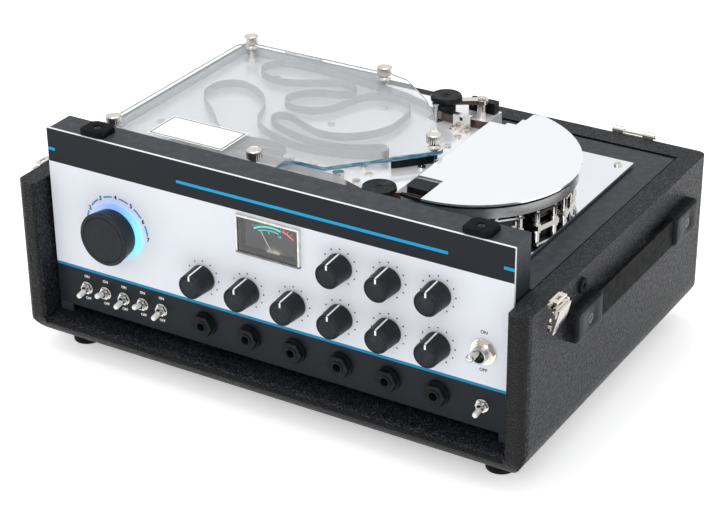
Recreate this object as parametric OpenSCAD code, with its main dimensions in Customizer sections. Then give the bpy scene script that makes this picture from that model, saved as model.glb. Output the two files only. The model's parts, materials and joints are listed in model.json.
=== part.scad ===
// Tape echo unit: an open vinyl-covered case with a recessed control panel and a tape deck on top.
// The front faces -Y, +X runs to the right along the panel, and the feet stand on z = 0.
// The middle of the whole length and width is at x = 0, y = 0.

/* [Case] */
// Outer width of the case
case_w = 420; // [410:1:460]
// Outer depth of the case, front to back
case_d = 296; // [292:1:330]
// Height of the case above its feet
case_h = 128.5; // [124:0.5:150]
// Thickness of the two side walls
side_t = 16.2; // [12:0.1:17]
// Thickness of the rear wall
rear_t = 18.5; // [14:0.1:20]
// Thickness of the floor
floor_t = 17; // [12:0.5:18]
// Radius of the long bottom edges at the sides
side_r = 26; // [18:1:30]
// Radius of the bottom edges at the front and the rear
front_r = 19; // [12:1:24]
// Radius of the upright outer edges
corner_r = 7; // [3:0.5:12]
// Radius of the upright inner edges at the open front
mouth_r = 3.5; // [1:0.5:6]
// Radius of the front top edge of the floor
lip_r = 8; // [3:0.5:11]

/* [Feet] */
// Height of a foot
foot_h = 10; // [6:0.5:16]
// Radius of a foot
foot_r = 12; // [9:0.5:14]
// Distance of a foot's axis from the side of the case
foot_in = 32; // [26:1:50]
// Distance of a foot's axis from the front and the rear of the case
foot_back = 30; // [24:1:50]

/* [Front panel] */
// Gap between the panel and each side wall
panel_gap = 2.9; // [2.4:0.1:4.5]
// Thickness of the panel
panel_t = 2; // [1.5:0.1:2.5]
// How far the panel stands behind the front of the case
panel_recess = 16.4; // [14:0.2:24]
// Height of the panel's lower edge above the underside of the case
panel_up = 25.5; // [21:0.5:28]
// First column of knobs and jacks, from the panel's left edge
col_in = 133.75; // [132.5:0.05:135]
// Last column of knobs and jacks, from the panel's right edge
col_out = 56.25; // [55:0.05:58]
// Height of the jacks above the panel's lower edge
jack_up = 17.3; // [15:0.1:19]
// Height of the lower knob row above the panel's lower edge
row_low = 55; // [52:0.1:58]
// Height of the upper knob row above the panel's lower edge
row_high = 94.4; // [92:0.1:96]

/* [Knobs] */
// Radius of a small knob at its face
knob_r = 9.3; // [8:0.1:10.5]
// Radius of a small knob at its base
knob_base_r = 10.3; // [8.4:0.1:11]
// Distance from the panel to the face of a small knob
knob_l = 17.9; // [15:0.1:22]
// Radius of the mode knob
mode_r = 20.8; // [18:0.1:21]
// Distance from the panel to the face of the mode knob
mode_l = 17.8; // [16:0.1:24]
// Distance of the mode knob from the panel's left edge
mode_in = 59; // [56:0.1:62]
// Height of the mode knob above the panel's lower edge
mode_up = 73.8; // [70:0.1:76]
// Radius of a control shaft
shaft_r = 3; // [2.5:0.1:3.2]
// Running clearance of shafts and pins, on the radius
fit = 0.05; // [0.02:0.01:0.08]

/* [Switches and jacks] */
// First small toggle switch, from the panel's left edge
toggle_in = 27.2; // [26:0.1:28]
// Distance between the small toggle switches
toggle_pitch = 17; // [16:0.1:17.2]
// Height of the small toggle switches above the panel's lower edge
toggle_up = 18.1; // [16:0.1:20]
// Power switch and output level switch, from the panel's right edge
right_in = 21.3; // [20:0.1:23]
// Height of the power switch above the panel's lower edge
power_up = 60.2; // [56:0.1:66]
// How far a small toggle leans from level
toggle_lean = 9; // [5:0.5:10]
// How far the power toggle leans from level
power_lean = 11; // [6:0.5:12]
// Radius of a jack's bore
jack_r = 3.2; // [3.1:0.05:3.3]
// How far a jack stands out of the panel
jack_out = 6.3; // [5.4:0.1:9]
// Depth of a jack's bore behind the panel
jack_deep = 24; // [18:1:28]

/* [Meter] */
// Width of the meter's window
meter_w = 52.6; // [48:0.1:56]
// Height of the meter's window
meter_h = 29.8; // [27:0.1:32]
// Height of the window's middle above the panel's lower edge
meter_up = 99.9; // [97:0.1:102]
// Needle's angle from upright, to the left
needle_lean = 30; // [20:1:32]

/* [Deck heights] */
// How far the deck lies below the rim of the case
deck_drop = 1; // [0.5:0.1:3]
// Height of the front box above the deck
box_h = 40.9; // [36:0.1:46]
// Depth of the front box behind the panel
box_depth = 23.6; // [22:0.1:30]
// Thickness of the folded steel
steel_t = 1.6; // [1:0.1:2]
// Gap under the polished plate
plate_raise = 1.5; // [1:0.1:3]
// Thickness of the polished plate
plate_t = 2; // [1.5:0.1:3]
// Height of the tape tray's floor above the polished plate
tray_h = 17; // [14:0.5:22]
// Clear height for the tape between the tray and its cover
cover_gap = 7; // [6.8:0.1:9]
// Thickness of the clear cover
cover_t = 3; // [2:0.1:5]
// Width of the tape
tape_w = 6.35; // [6:0.05:6.4]
// Thickness of the tape's solid
tape_t = 0.35; // [0.3:0.01:0.4]

/* [Plates in plan] */
// Distance of the polished plate from each side wall
plate_side = 21.8; // [16:0.2:24]
// Distance of the plate's and the tray's rear edge from the rear wall
plate_back = 30.5; // [24:0.5:32]
// x of the tray's right edge
tray_x = 62; // [61:0.5:64]
// Distance from the front of the case to the tray's front edge
tray_front = 50; // [46:1:54]
// How far the clear cover overhangs the tray
overhang = 3; // [1:0.5:5]

/* [Heads] */
// Centre of the heads' arc, x
head_x = 92; // [91:0.5:94]
// Centre of the heads' arc, distance from the front of the case
head_y = 145; // [144:0.5:147]
// Radius of the tape's arc round the heads
tape_arc = 68; // [66:0.5:69]
// Radius of the shield band, outside
band_r = 75.4; // [73:0.1:76]
// Radius of the head cover
head_cover_r = 77; // [76:0.5:79]
// Height of the shield band
band_h = 7.4; // [6:0.1:9]
// Width of a head along the tape
head_w = 13; // [9:0.5:15]

/* [Tape drive] */
// Capstan's x
cap_x = 25.4; // [25:0.1:26]
// Capstan's distance from the front of the case
cap_y = 209.3; // [209:0.1:210]
// Capstan's radius
cap_r = 2; // [1.5:0.1:2.1]
// Flywheel's radius
fly_r = 40; // [30:1:45]
// Motor pulley's radius
pulley_r = 6; // [5:0.5:10]
// Pinch roller's radius
roller_r = 7.2; // [6:0.1:7.3]
// Radius of the rollers' cap discs
disc_r = 12; // [9:0.5:12.5]

/* [Handle and latches] */
// Distance of the handle's front screw from the front of the case
handle_front = 78; // [74:1:90]
// Distance between the handle's two screws
handle_span = 165; // [120:1:175]
// Distance of the handle's middle below the rim of the case
handle_drop = 33.5; // [30:0.5:45]
// Height of the handle's strap
strap_h = 22; // [16:0.5:26]
// How far the handle stands out from the side
handle_out = 8.6; // [8:0.1:12]
// Distance of the latches' middle from the front of the case
latch_y = 36; // [32:1:42]
// Width of a latch
latch_w = 21; // [20:1:28]
// Height of a latch below the rim of the case
latch_h = 24; // [22:1:30]
// Radius of a latch's barrel
latch_r = 2.4; // [2.2:0.1:2.5]

/* [Hidden] */
$fn = 48;
eps = 0.01;
seat = 0.3;           // the gap left at a seat between two bodies or two curved faces

// Case
hinge_out = 6.7;      // how far the hinge knuckles stand behind the case
p_pivot = 4;          // power toggle: pivot behind the panel's face
p_tip_r = 2.8;        // and the radius of its tip
p_len = 27;           // and its length from pivot to tip
// how far the power toggle's tip stands in front of the case
front_out = (p_len - p_tip_r) * cos(power_lean) + p_tip_r - p_pivot - panel_recess;
front_y = -(case_d + hinge_out - front_out) / 2;
rear_y = front_y + case_d;
half_w = case_w / 2;
base_z = foot_h;
rim_z = base_z + case_h;
floor_z = base_z + floor_t;
inner_x = half_w - side_t;
inner_rear = rear_y - rear_t;

// Panel and chassis
panel_w = 2 * (inner_x - panel_gap);
col_first = -panel_w / 2 + col_in;
col_pitch = (panel_w - col_in - col_out) / 5;
mode_x = -panel_w / 2 + mode_in;
toggle_first = -panel_w / 2 + toggle_in;
right_x = panel_w / 2 - right_in;
panel_y = front_y + panel_recess;
panel_back = panel_y + panel_t;
panel_z = base_z + panel_up;
deck_z = rim_z - deck_drop;
box_z = deck_z + box_h;
panel_top = box_z;
box_back = panel_back + box_depth;
box_x = panel_w / 2 - 1.4;
skirt_gap = 1.6;
skirt_x = inner_x - skirt_gap;
deck_rear = inner_rear - skirt_gap;
flange_w = 11;
jack_z = panel_z + jack_up;
low_z = panel_z + row_low;
high_z = panel_z + row_high;
toggle_z = panel_z + toggle_up;
power_z = panel_z + power_up;
meter_z = panel_z + meter_up;
meter_x = 0.3;

// Controls
knob_gap = 0.5;       // knob's rear face to the panel
knob_wall = 3;        // solid front of a knob
nut_room = 5.2;       // depth of the recess behind a knob, over the nut
nut_room_r = 7.2;
groove = 0.35;        // depth of a pointer groove
groove_w = 1.5;
bush_r = 3.6;
bush_out = 4.6;
pot_r = 8.5;
pot_deep = 10;
mode_gap = 3.8;
ring_t = 1.7;
ring_r = 22.2;
mode_body_r = 14;
mode_body_deep = 20;
mode_rest = -60;      // angle of the mode knob's pointer from upright: position 2
hole_gap = 0.25;

// Small toggles
t_bush_r = 3.2;
t_bore_r = 2.35;
t_out = 4.2;
t_pivot = 3;          // pivot behind the panel's face
t_neck_r = 0.9;
t_cap_r = 2.1;
t_len = 15.6;         // pivot to the tip
t_af = 8;
// Power toggle
p_bush_r = 5.9;
p_ball_r = 3.4;
p_mouth_r = 4.8;
p_out = 8.5;
p_neck_r = 1.7;

// Jacks
j_bush_r = 4.7;
j_ring_r = 9.5;
j_ring_t = 2.3;
j_af = 15.2;
j_body = 15;

// Meter
m_front = 2.5;
m_sheet = 1.3;
m_wall = 1.2;
m_in_w = meter_w - 4.2;
m_in_h = meter_h - 4;
m_deep = 17;
dial_y = panel_y + 5;
pivot_z = meter_z - m_in_h / 2 + m_wall + 1.9;
needle_len = 16.8;
needle_y = dial_y - 2;

// Deck
plate_x = inner_x - plate_side;
plate_rear = case_d - rear_t - plate_back;
plate_z = deck_z + plate_raise + plate_t;
tray_z = plate_z + tray_h;
tray_t = 2;
cover_z = tray_z + cover_gap;
cover_top = cover_z + cover_t;
rear_edge = front_y + plate_rear;
tray_y = front_y + tray_front;
tape_z = tray_z + seat;
screw_r = 6;
drawn_half = 172;     // the plan below is drawn for a plate of this half width, and its left part follows it
function fitted(points) = [for (p = points) [p[0] < 0 ? p[0] * plate_x / drawn_half : p[0], p[1]]];
// the thumbscrews, as x and distance from the front
screws = fitted([[-160.5, 240], [-161, 57.5], [-35, 237], [59.5, 145.5], [-38, 58.5]]);
tray_screws = fitted([[-36, 159], [-17, 205], [38, 128], [55, 189], [-120, 215], [-150, 100], [56, 172],
    [22, 109], [31, 101], [29, 87], [58, 130]]);

// Heads
hx = head_x;
hy = front_y + head_y;
head_cover_t = 1.5;
head_cover_z = cover_top - head_cover_t;
band_t = 1;
gasket_t = 2.5;
band_z = head_cover_z - gasket_t - band_h;
band_from = -104;
band_to = 62;
head_angles = [-68, -42, -16, 10, 36];
post_out = tape_arc + 2.2;   // the outer posts stand below the tape's path
post_side = 8.8;
post_r = 1.9;
post_h = 12.8;
head_deep = 14;
head_top = tape_z + tape_w + 0.6;
head_low = plate_z + 4;
edge_x = 72.6;        // the head cover's straight left edge
notch_x = 92;
notch_y = 100;        // distance from the front of the case
cover_posts = [[100, 110], [100, 180], [135, 145]];

// Tape drive
cx = cap_x;
cy = front_y + cap_y;
roller_x = 29;
roller_y = front_y + 219.4;
arm_x = 52;
arm_y = front_y + 233;
arm_z = tray_z + 10.6;
arm_t = 3.2;
disc_z = arm_z + arm_t + seat;
disc_t = 3.4;
post_top = disc_z - 0.5;  // top of the capstan, under the cap disc
fly_z = base_z + 78;
fly_t = 14;
motor_x = cap_x - 85.4;
motor_y = front_y + cap_y - 4.3;
motor_r = 22;
motor_flange = 56;
motor_flange_t = 3;
motor_shaft_r = 1.5;
hub_r = 9;
rim_w = 8;
motor_z = fly_z + fly_t + 4;
guide_x = 57;
guide_y = front_y + 71.5;
guide_r = 7;
pin_r = 1.5;

// Handle and latches
cap_len = 40;
cap_h = strap_h + 2;
strap_t = 3;
strap_x = half_w + 3;
handle_z = rim_z - handle_drop;
handle_y = [front_y + handle_front, front_y + handle_front + handle_span];
latch_mid = front_y + latch_y;
latch_t = 1.4;         // thickness of a latch's sheet
latch_pin_z = rim_z - 6;
latch_pin_x = half_w + handle_out - latch_t - latch_r - 0.3;
latch_lean = 14;       // the lever's foot lies nearer to the case than its top
latch_pin_r = 1.3;
latch_low = rim_z - latch_h;
latch_drop = latch_pin_z - latch_low;
ear_t = 1.4;
latch_screw_y = 5.5;   // a latch's screws from its middle
leaf_w = 34;
leaf_h = 20;
hinge_x = half_w - 61;
knuckle_r = 3.2;
inlet_x = -half_w + 70;
inlet_z = base_z + 45;
inlet_w = 27;
inlet_h = 20;

// ---- shapes that repeat ----
// a rod along +Y from y0 to y1
module rod_y(r, y0, y1) {
    translate([0, y0, 0]) rotate([-90, 0, 0]) cylinder(r = r, h = y1 - y0);
}
// a rod along +X from x0 to x1
module rod_x(r, x0, x1) {
    translate([x0, 0, 0]) rotate([0, 90, 0]) cylinder(r = r, h = x1 - x0);
}
// a hexagonal prism along +Y, by its width across flats
module hex_y(af, y0, y1) {
    translate([0, y0, 0]) rotate([-90, 0, 0]) cylinder(r = af / 2 / cos(30), h = y1 - y0, $fn = 6);
}
// a box given by its lowest and highest corners
module span(a, b) {
    translate(a) cube([b[0] - a[0], b[1] - a[1], b[2] - a[2]]);
}
// a rounded rectangle from corner a to corner b
module round_rect(a, b, r) {
    w = b[0] - a[0];
    h = b[1] - a[1];
    translate(a) {
        translate([r, 0]) square([w - 2 * r, h]);
        translate([0, r]) square([w, h - 2 * r]);
        for (x = [r, w - r], y = [r, h - r]) translate([x, y]) circle(r = r);
    }
}
// what a rounded upright edge takes off a square corner at the origin, to +X and +Y
module edge_cut(r, h) {
    difference() {
        translate([-1, -1, 0]) cube([r + 1, r + 1, h]);
        translate([r, r, -1]) cylinder(r = r, h = h + 2);
    }
}
// a pan-head screw along -X or +X on the side wall, its seat at x
module side_screw(s, x, y, z, r, len) {
    translate([x, y, z]) rotate([0, 90 * s, 0]) difference() {
        union() {
            cylinder(r = r, h = 1.5);
            translate([0, 0, -len]) cylinder(r = r / 2, h = len + eps);
        }
        for (a = [0, 90]) rotate(a) translate([-r * 0.6, -0.3, 0.8]) cube([r * 1.2, 0.6, 1]);
    }
}
// a pan-head screw pointing down, its seat at z
module top_screw(x, y, z, r, len) {
    translate([x, y, z]) difference() {
        union() {
            cylinder(r = r, h = 1.3);
            translate([0, 0, -len]) cylinder(r = r / 2, h = len + eps);
        }
        for (a = [45, 135]) rotate(a) translate([-r * 0.6, -0.3, 0.7]) cube([r * 1.2, 0.6, 1]);
    }
}

// ---- case ----
module case_body() {
    tall = case_h + 60;
    intersection() {
        translate([0, 0, base_z]) linear_extrude(case_h)
            round_rect([-half_w, front_y], [half_w, rear_y], corner_r);
        translate([0, rear_y + 1, 0]) rotate([90, 0, 0]) linear_extrude(case_d + 2)
            round_rect([-half_w, base_z], [half_w, base_z + tall], side_r);
        translate([-half_w - 1, 0, 0]) rotate([90, 0, 90]) linear_extrude(case_w + 2)
            round_rect([front_y, base_z], [rear_y, base_z + tall], front_r);
    }
}
module case_shell() {
    color("#2b2b2d") difference() {
        case_body();
        span([-inner_x, front_y - 1, floor_z], [inner_x, inner_rear, rim_z + 1]);
        for (s = [0, 1]) mirror([s, 0, 0])
            translate([inner_x, front_y, floor_z]) edge_cut(mouth_r, case_h);
        // the rounded front edge of the floor
        translate([-inner_x, front_y, floor_z]) rotate([90, 0, 90]) mirror([0, 1, 0])
            edge_cut(lip_r, 2 * inner_x);
        span([inlet_x - inlet_w / 2 - seat, inner_rear - 1, inlet_z - inlet_h / 2 - seat],
            [inlet_x + inlet_w / 2 + seat, rear_y + 1, inlet_z + inlet_h / 2 + seat]);
    }
}
module foot_places() {
    for (x = [-half_w + foot_in, half_w - foot_in], y = [front_y + foot_back, rear_y - foot_back])
        translate([x, y, 0]) children();
}
module case_feet() {
    color("#151515") foot_places() difference() {
        cylinder(r1 = foot_r - 1.2, r2 = foot_r, h = foot_h);
        translate([0, 0, -1]) cylinder(r = 4.5, h = foot_h / 2 + 1);
        translate([0, 0, -1]) cylinder(r = 2.3, h = foot_h + 2);
    }
}
module handle_caps() {
    color("#1b1b1c") for (i = [0, 1]) translate([half_w, handle_y[i], handle_z]) difference() {
        rotate([90, 0, 90]) linear_extrude(handle_out)
            round_rect([-cap_len / 2, -cap_h / 2], [cap_len / 2, cap_h / 2], 2.5);
        // the slot that holds the strap, open towards the other cap
        span([strap_x - half_w - seat, i == 0 ? -cap_len / 2 + 3 : -cap_len, -strap_h / 2 - seat],
            [strap_x - half_w + strap_t + seat, i == 0 ? cap_len : cap_len / 2 - 3, strap_h / 2 + seat]);
        rod_x(2.3, -1, handle_out + 1);
        rod_x(4.3, handle_out - 1.6, handle_out + 1);
    }
}
module handle_strap() {
    color("#202021") difference() {
        span([strap_x, handle_y[0] - cap_len / 2 + 3 + seat, handle_z - strap_h / 2],
            [strap_x + strap_t, handle_y[1] + cap_len / 2 - 3 - seat, handle_z + strap_h / 2]);
        for (y = handle_y) translate([0, y, handle_z]) rod_x(2.5, half_w, half_w + handle_out);
    }
}
// a latch on the right side; the left one is its mirror image
module latch_plate() {
    m = latch_mid;
    h = latch_w / 2;
    t = latch_t;
    span([half_w, m - h, latch_low + 2], [half_w + t, m + h, rim_z - 0.5]);
    // ears that carry the pin
    for (y = [m - h, m + h - ear_t]) difference() {
        span([half_w, y, latch_pin_z - 4], [latch_pin_x + 2, y + ear_t, latch_pin_z + 3]);
        translate([latch_pin_x, 0, latch_pin_z]) rod_y(latch_pin_r + fit, m - h - 1, m + h + 1);
    }
    translate([latch_pin_x, 0, latch_pin_z]) rod_y(latch_pin_r, m - h - 0.6, m + h + 0.6);
    // the flange over the lever, with its slot
    difference() {
        span([half_w, m - h + 3, rim_z - 0.6], [half_w + 6, m + h - 3, rim_z + 0.7]);
        span([half_w + 2, m - 3, rim_z - 2], [half_w + 4.6, m + 3, rim_z + 2]);
    }
}
module latch_plates() {
    color("#cfc9c4") for (s = [0, 1]) mirror([s, 0, 0]) latch_plate();
}
module latch_lever() {
    m = latch_mid;
    h = latch_w / 2 - ear_t - seat;
    t = latch_t;
    translate([latch_pin_x, 0, latch_pin_z]) rotate([0, latch_lean, 0]) difference() {
        union() {
            // outer face with its slanted foot and a finger hole
            translate([latch_r, 0, 0]) rotate([90, 0, 90]) linear_extrude(t) difference() {
                polygon([[m - h, latch_r], [m + h, latch_r], [m + h, -latch_drop + 9],
                    [m + h * 0.6, -latch_drop + 4], [m - h * 0.7, -latch_drop], [m - h, -latch_drop + 1.5]]);
                polygon([[m - 3, -latch_drop + 7], [m + 3.5, -latch_drop + 10], [m + 2, -latch_drop + 4.5]]);
            }
            // side cheeks and the barrel
            for (y = [m - h, m + h]) translate([0, y == m - h ? y + t : y, 0]) rotate([90, 0, 0])
                linear_extrude(t) polygon([[-1.6, latch_r - 0.4], [latch_r + eps, latch_r - 0.4],
                    [latch_r + eps, -10], [1, -10]]);
            rod_y(latch_r + 0.1, m - h, m + h);
        }
        rod_y(latch_pin_r + fit, m - h - 1, m + h + 1);
    }
}
module latch_lever_right() {
    color("#d8d3ce") latch_lever();
}
module latch_lever_left() {
    color("#d8d3ce") mirror([1, 0, 0]) latch_lever();
}
module lid_hinges() {
    z = rim_z + 1;
    y = rear_y + hinge_out - knuckle_r;
    color("#cdc8c2") for (s = [-1, 1]) translate([s * hinge_x, 0, 0]) {
        difference() {
            union() {
                span([-leaf_w / 2, rear_y, rim_z - leaf_h], [leaf_w / 2, rear_y + 1.6, rim_z]);
                for (x = [-leaf_w / 2, leaf_w / 2 - 9]) translate([0, y, z]) {
                    rod_x(knuckle_r, x, x + 9);
                    span([x, rear_y - y, -4], [x + 9, rear_y - y + 1.6, 0]);
                }
            }
            translate([0, y, z]) rod_x(1.5 + fit, -leaf_w / 2 - 1, leaf_w / 2 + 1);
            for (x = [-10, 10]) translate([x, 0, rim_z - leaf_h + 6]) rod_y(1.8, rear_y - 1, rear_y + 3);
        }
        translate([0, y, z]) rod_x(1.5, -leaf_w / 2 - 1, leaf_w / 2 + 1);
    }
}
module case_screws() {
    color("#b9b4ae") {
        for (y = handle_y) side_screw(1, half_w + handle_out - 1.6, y, handle_z, 4, 20);
        foot_places() translate([0, 0, foot_h / 2]) rotate([180, 0, 0]) {
            cylinder(r = 4, h = 2);
            translate([0, 0, -foot_h / 2 - 8]) cylinder(r = 2, h = foot_h / 2 + 8);
        }
        for (s = [-1, 1], y = [latch_mid - latch_screw_y, latch_mid + latch_screw_y])
            side_screw(s, s * (half_w + latch_t), y, latch_low + 5, 2, 8);
        for (s = [-1, 1], x = [-10, 10]) translate([s * hinge_x + x, rear_y + 1.6, rim_z - leaf_h + 6])
            rotate([-90, 0, 0]) {
                cylinder(r = 2.8, h = 1);
                translate([0, 0, -9.6]) cylinder(r = 1.5, h = 9.7);
            }
        for (x = bumper_xs) top_screw(x, bumper_y, box_z + bumper_h - 2, 2.4, 5);
    }
}
bumper_xs = [-half_w + 57, half_w - 50];
bumper_y = front_y + 28;
bumper_h = 4.4;
bumper_w = 21.5;
bumper_d = 20;
bumper_cut = 3.6;
side_bumper_r = 5.6;
side_bumper_t = 2.2;
function cut_corners(x, y, c) = [[-x, c - y], [c - x, -y], [x - c, -y], [x, c - y],
    [x, y - c], [x - c, y], [c - x, y], [-x, y - c]];
module rubber_bumpers() {
    color("#161617") {
        for (x = bumper_xs) translate([x, bumper_y, box_z]) difference() {
            linear_extrude(bumper_h) polygon(cut_corners(bumper_w / 2, bumper_d / 2, bumper_cut));
            translate([0, 0, bumper_h - 2]) cylinder(r = 2.8, h = 3);
            translate([0, 0, -1]) cylinder(r = 1.4, h = bumper_h);
        }
        translate([half_w, front_y + handle_front + 1, handle_z + cap_h / 2 + side_bumper_r + 5])
            difference() {
                rod_x(side_bumper_r, 0, side_bumper_t);
                rod_x(side_bumper_r / 3, side_bumper_t - 1, side_bumper_t + 1);
            }
    }
}
module mains_inlet() {
    color("#1a1a1a") translate([inlet_x, 0, inlet_z]) {
        difference() {
            union() {
                span([-inlet_w / 2, inner_rear - 4, -inlet_h / 2], [inlet_w / 2, rear_y, inlet_h / 2]);
                span([-25, rear_y, -14], [25, rear_y + 2.5, 14]);
            }
            // the socket
            span([-12, rear_y - 15, -8], [12, rear_y + 4, 8]);
            for (x = [-20, 20]) translate([x, 0, 0]) rod_y(1.8, rear_y - 1, rear_y + 4);
        }
        for (p = [[-7, -1], [7, -1], [0, 3]])
            span([p[0] - 1, rear_y - 15, p[1] - 2], [p[0] + 1, rear_y - 6, p[1] + 2]);
        for (x = [-20, 20]) translate([x, 0, 0]) {
            rod_y(2.9, rear_y + 2.5, rear_y + 3.6);
            rod_y(1.5, rear_y - 8, rear_y + 2.5);
        }
    }
}

// ---- chassis ----
function screw_at(p) = [p[0], front_y + p[1]];
module chassis_deck() {
    t = steel_t;
    color("#4a4b4e") difference() {
        union() {
            span([-skirt_x, box_back - t, deck_z - t], [skirt_x, deck_rear, deck_z]);
            // skirts at the sides, standing on the floor
            for (s = [0, 1]) mirror([s, 0, 0]) {
                span([skirt_x - t, panel_back + 0.2, floor_z + seat], [skirt_x, deck_rear, deck_z - t + eps]);
                span([skirt_x - flange_w, panel_back + 0.2, floor_z + seat],
                    [skirt_x, panel_back + 0.2 + t, deck_z - t]);
            }
            span([-skirt_x, deck_rear - t, deck_z - 12], [skirt_x, deck_rear, deck_z]);
            // the front box
            span([-box_x, box_back - t, deck_z - t], [box_x, box_back, box_z]);
            span([-box_x, panel_back, box_z - t], [box_x, box_back, box_z]);
            for (s = [0, 1]) mirror([s, 0, 0])
                span([box_x - t, panel_back, deck_z - t], [box_x, box_back, box_z]);
        }
        translate([cx, cy, deck_z - 10]) cylinder(r = bearing_r + 0.4, h = 20);
        for (x = bumper_xs) translate([x, bumper_y, box_z - 5]) cylinder(r = 1.4, h = 10);
    }
}
bearing_r = 5;
module at_controls() {
    // the six columns on the lower row and three on the upper row
    for (i = [0:5]) translate([col_first + i * col_pitch, 0, low_z]) children();
    for (i = [3:5]) translate([col_first + i * col_pitch, 0, high_z]) children();
}
module at_jacks() {
    for (i = [0:5]) translate([col_first + i * col_pitch, 0, jack_z]) children();
}
toggle_xs = [for (i = [0:4]) toggle_first + i * toggle_pitch];
module at_toggles() {
    for (x = concat(toggle_xs, [right_x])) translate([x, 0, toggle_z]) children();
}
module front_panel() {
    a = panel_y - 1;
    b = panel_back + 1;
    color("#dfe3e8") difference() {
        span([-panel_w / 2, panel_y, panel_z], [panel_w / 2, panel_back, panel_top]);
        at_controls() rod_y(bush_r + hole_gap, a, b);
        at_jacks() rod_y(j_bush_r + hole_gap, a, b);
        at_toggles() rod_y(t_bush_r + hole_gap, a, b);
        translate([mode_x, 0, panel_z + mode_up]) rod_y(bush_r + hole_gap, a, b);
        translate([right_x, 0, power_z]) rod_y(p_bush_r + hole_gap, a, b);
        span([meter_x - m_in_w / 2 - seat, a, meter_z - m_in_h / 2 - seat],
            [meter_x + m_in_w / 2 + seat, b, meter_z + m_in_h / 2 + seat]);
    }
}
board_up = 9;
board_t = 1.6;
board_z = floor_z + board_up;
board_a = [-70, panel_back + 56];
board_b = [skirt_x - 17, deck_rear - 26];
board_in = 8;          // the board's screws from its edges
board_screw_r = 1.4;
chip_w = 20;
chip_d = 7;
chip_h = 4;
capacitor_r = 8;
capacitor_h = 18;
module board_corners() {
    for (x = [board_a[0] + board_in, board_b[0] - board_in],
        y = [board_a[1] + board_in, board_b[1] - board_in])
        translate([x, y, 0]) children();
}
module circuit_board() {
    top = board_z + board_t;
    step = (board_b[0] - board_a[0] - 2 * chip_w) / 6;
    color("#1f5a3a") {
        difference() {
            span([board_a[0], board_a[1], board_z], [board_b[0], board_b[1], top]);
            board_corners() translate([0, 0, board_z - 1]) cylinder(r = board_screw_r + 0.3, h = 4);
        }
        board_corners() {
            difference() {
                translate([0, 0, floor_z]) cylinder(r = 2.5 * board_screw_r, h = board_up);
                translate([0, 0, floor_z + board_up / 2]) cylinder(r = board_screw_r + 0.1, h = board_up);
            }
            translate([0, 0, top]) cylinder(r = 2 * board_screw_r, h = 1.6);
            translate([0, 0, floor_z + board_up / 2 + 0.2])
                cylinder(r = board_screw_r, h = board_up / 2 + board_t);
        }
        // a row of chips at the front, and a row of capacitors further back
        for (i = [0:5]) span([board_a[0] + chip_w + step * i, board_a[1] + 25, top],
            [board_a[0] + 2 * chip_w + step * i, board_a[1] + 25 + chip_d, top + chip_h]);
        for (i = [0:5]) translate([board_a[0] + 1.5 * chip_w + step * i, board_b[1] - 45, top])
            cylinder(r = capacitor_r, h = capacitor_h);
    }
}
coil_r = 38;
coil_h = 34;
coil_bolt_r = 3;
coil_x = -half_w + 90;
coil_y = deck_rear - coil_r - 23;
module power_transformer() {
    pad = 2;
    color("#b8874a") translate([coil_x, coil_y, floor_z]) {
        difference() {
            union() {
                translate([0, 0, pad]) rotate_extrude() translate([coil_r / 2 + 5, 0])
                    round_rect([-coil_r / 2 + 5, 0], [coil_r / 2 - 5, coil_h], coil_r / 4);
                cylinder(r = coil_r - 4, h = pad);
            }
            translate([0, 0, -1]) cylinder(r = coil_bolt_r + 0.1, h = coil_h + 6);
        }
        translate([0, 0, pad + coil_h]) difference() {
            cylinder(r = coil_r - 8, h = pad);
            translate([0, 0, -1]) cylinder(r = coil_bolt_r + 0.1, h = pad + 2);
        }
        cylinder(r = coil_bolt_r, h = coil_h + 8);
        translate([0, 0, coil_h + 2 * pad]) cylinder(r = 2 * coil_bolt_r, h = 4, $fn = 6);
    }
}
tank_w = 24;
tank_h = 30;
tank_t = 1.2;
tank_end = 14;
tank_spring_r = 2.4;
module spring_reverb_tank() {
    x0 = -skirt_x + steel_t + 2.6;
    x1 = x0 + tank_w;
    y0 = panel_back + 44;
    y1 = deck_rear - 26;
    z = floor_z;
    t = tank_t;
    color("#8d9094") {
        difference() {
            span([x0, y0, z], [x1, y1, z + tank_h]);
            span([x0 + t, y0 + t, z + t], [x1 - t, y1 - t, z + tank_h + 1]);
        }
        // end blocks and the two springs between them
        for (y = [y0 + t, y1 - t - tank_end])
            span([x0 + 3, y, z + t], [x1 - 3, y + tank_end, z + tank_h - 8]);
        for (x = [x0 + 8, x1 - 8]) translate([x, 0, z + tank_h / 2])
            rod_y(tank_spring_r, y0 + t + tank_end, y1 - t - tank_end);
    }
}

// ---- knobs ----
// a knob on its shaft, pointer up; r at the face, rb at the base, len from the panel, gap behind it;
// the pointer's mark on the face runs from the radius mark to the edge, and a line runs round the face
// at the radius ring
module knob(r, rb, len, gap, shaft_end, mark, ring) {
    tip = panel_y - len;
    back = panel_y - gap;
    difference() {
        translate([0, back, 0]) rotate([90, 0, 0]) rotate_extrude()
            polygon([[0, 0], [rb - 0.5, 0], [rb, 0.5], [r, len - gap - 0.9], [r - 0.9, len - gap],
                [ring + 0.4, len - gap], [ring, len - gap - 0.4], [ring - 0.4, len - gap], [0, len - gap]]);
        rod_y(nut_room_r, back - nut_room, back + 1);
        rod_y(shaft_r + fit, tip + knob_wall, back);
        // pointer groove over the face and along the top of the skirt
        span([-groove_w / 2, tip - 1, mark], [groove_w / 2, tip + groove, max(mark, rb) + 1]);
        translate([0, tip, r]) rotate([atan2(rb - r, len - gap), 0, 0])
            span([-groove_w / 2, 0.5, -groove], [groove_w / 2, len, 2]);
    }
    rod_y(shaft_r, tip + knob_wall + seat, shaft_end);
}
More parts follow.
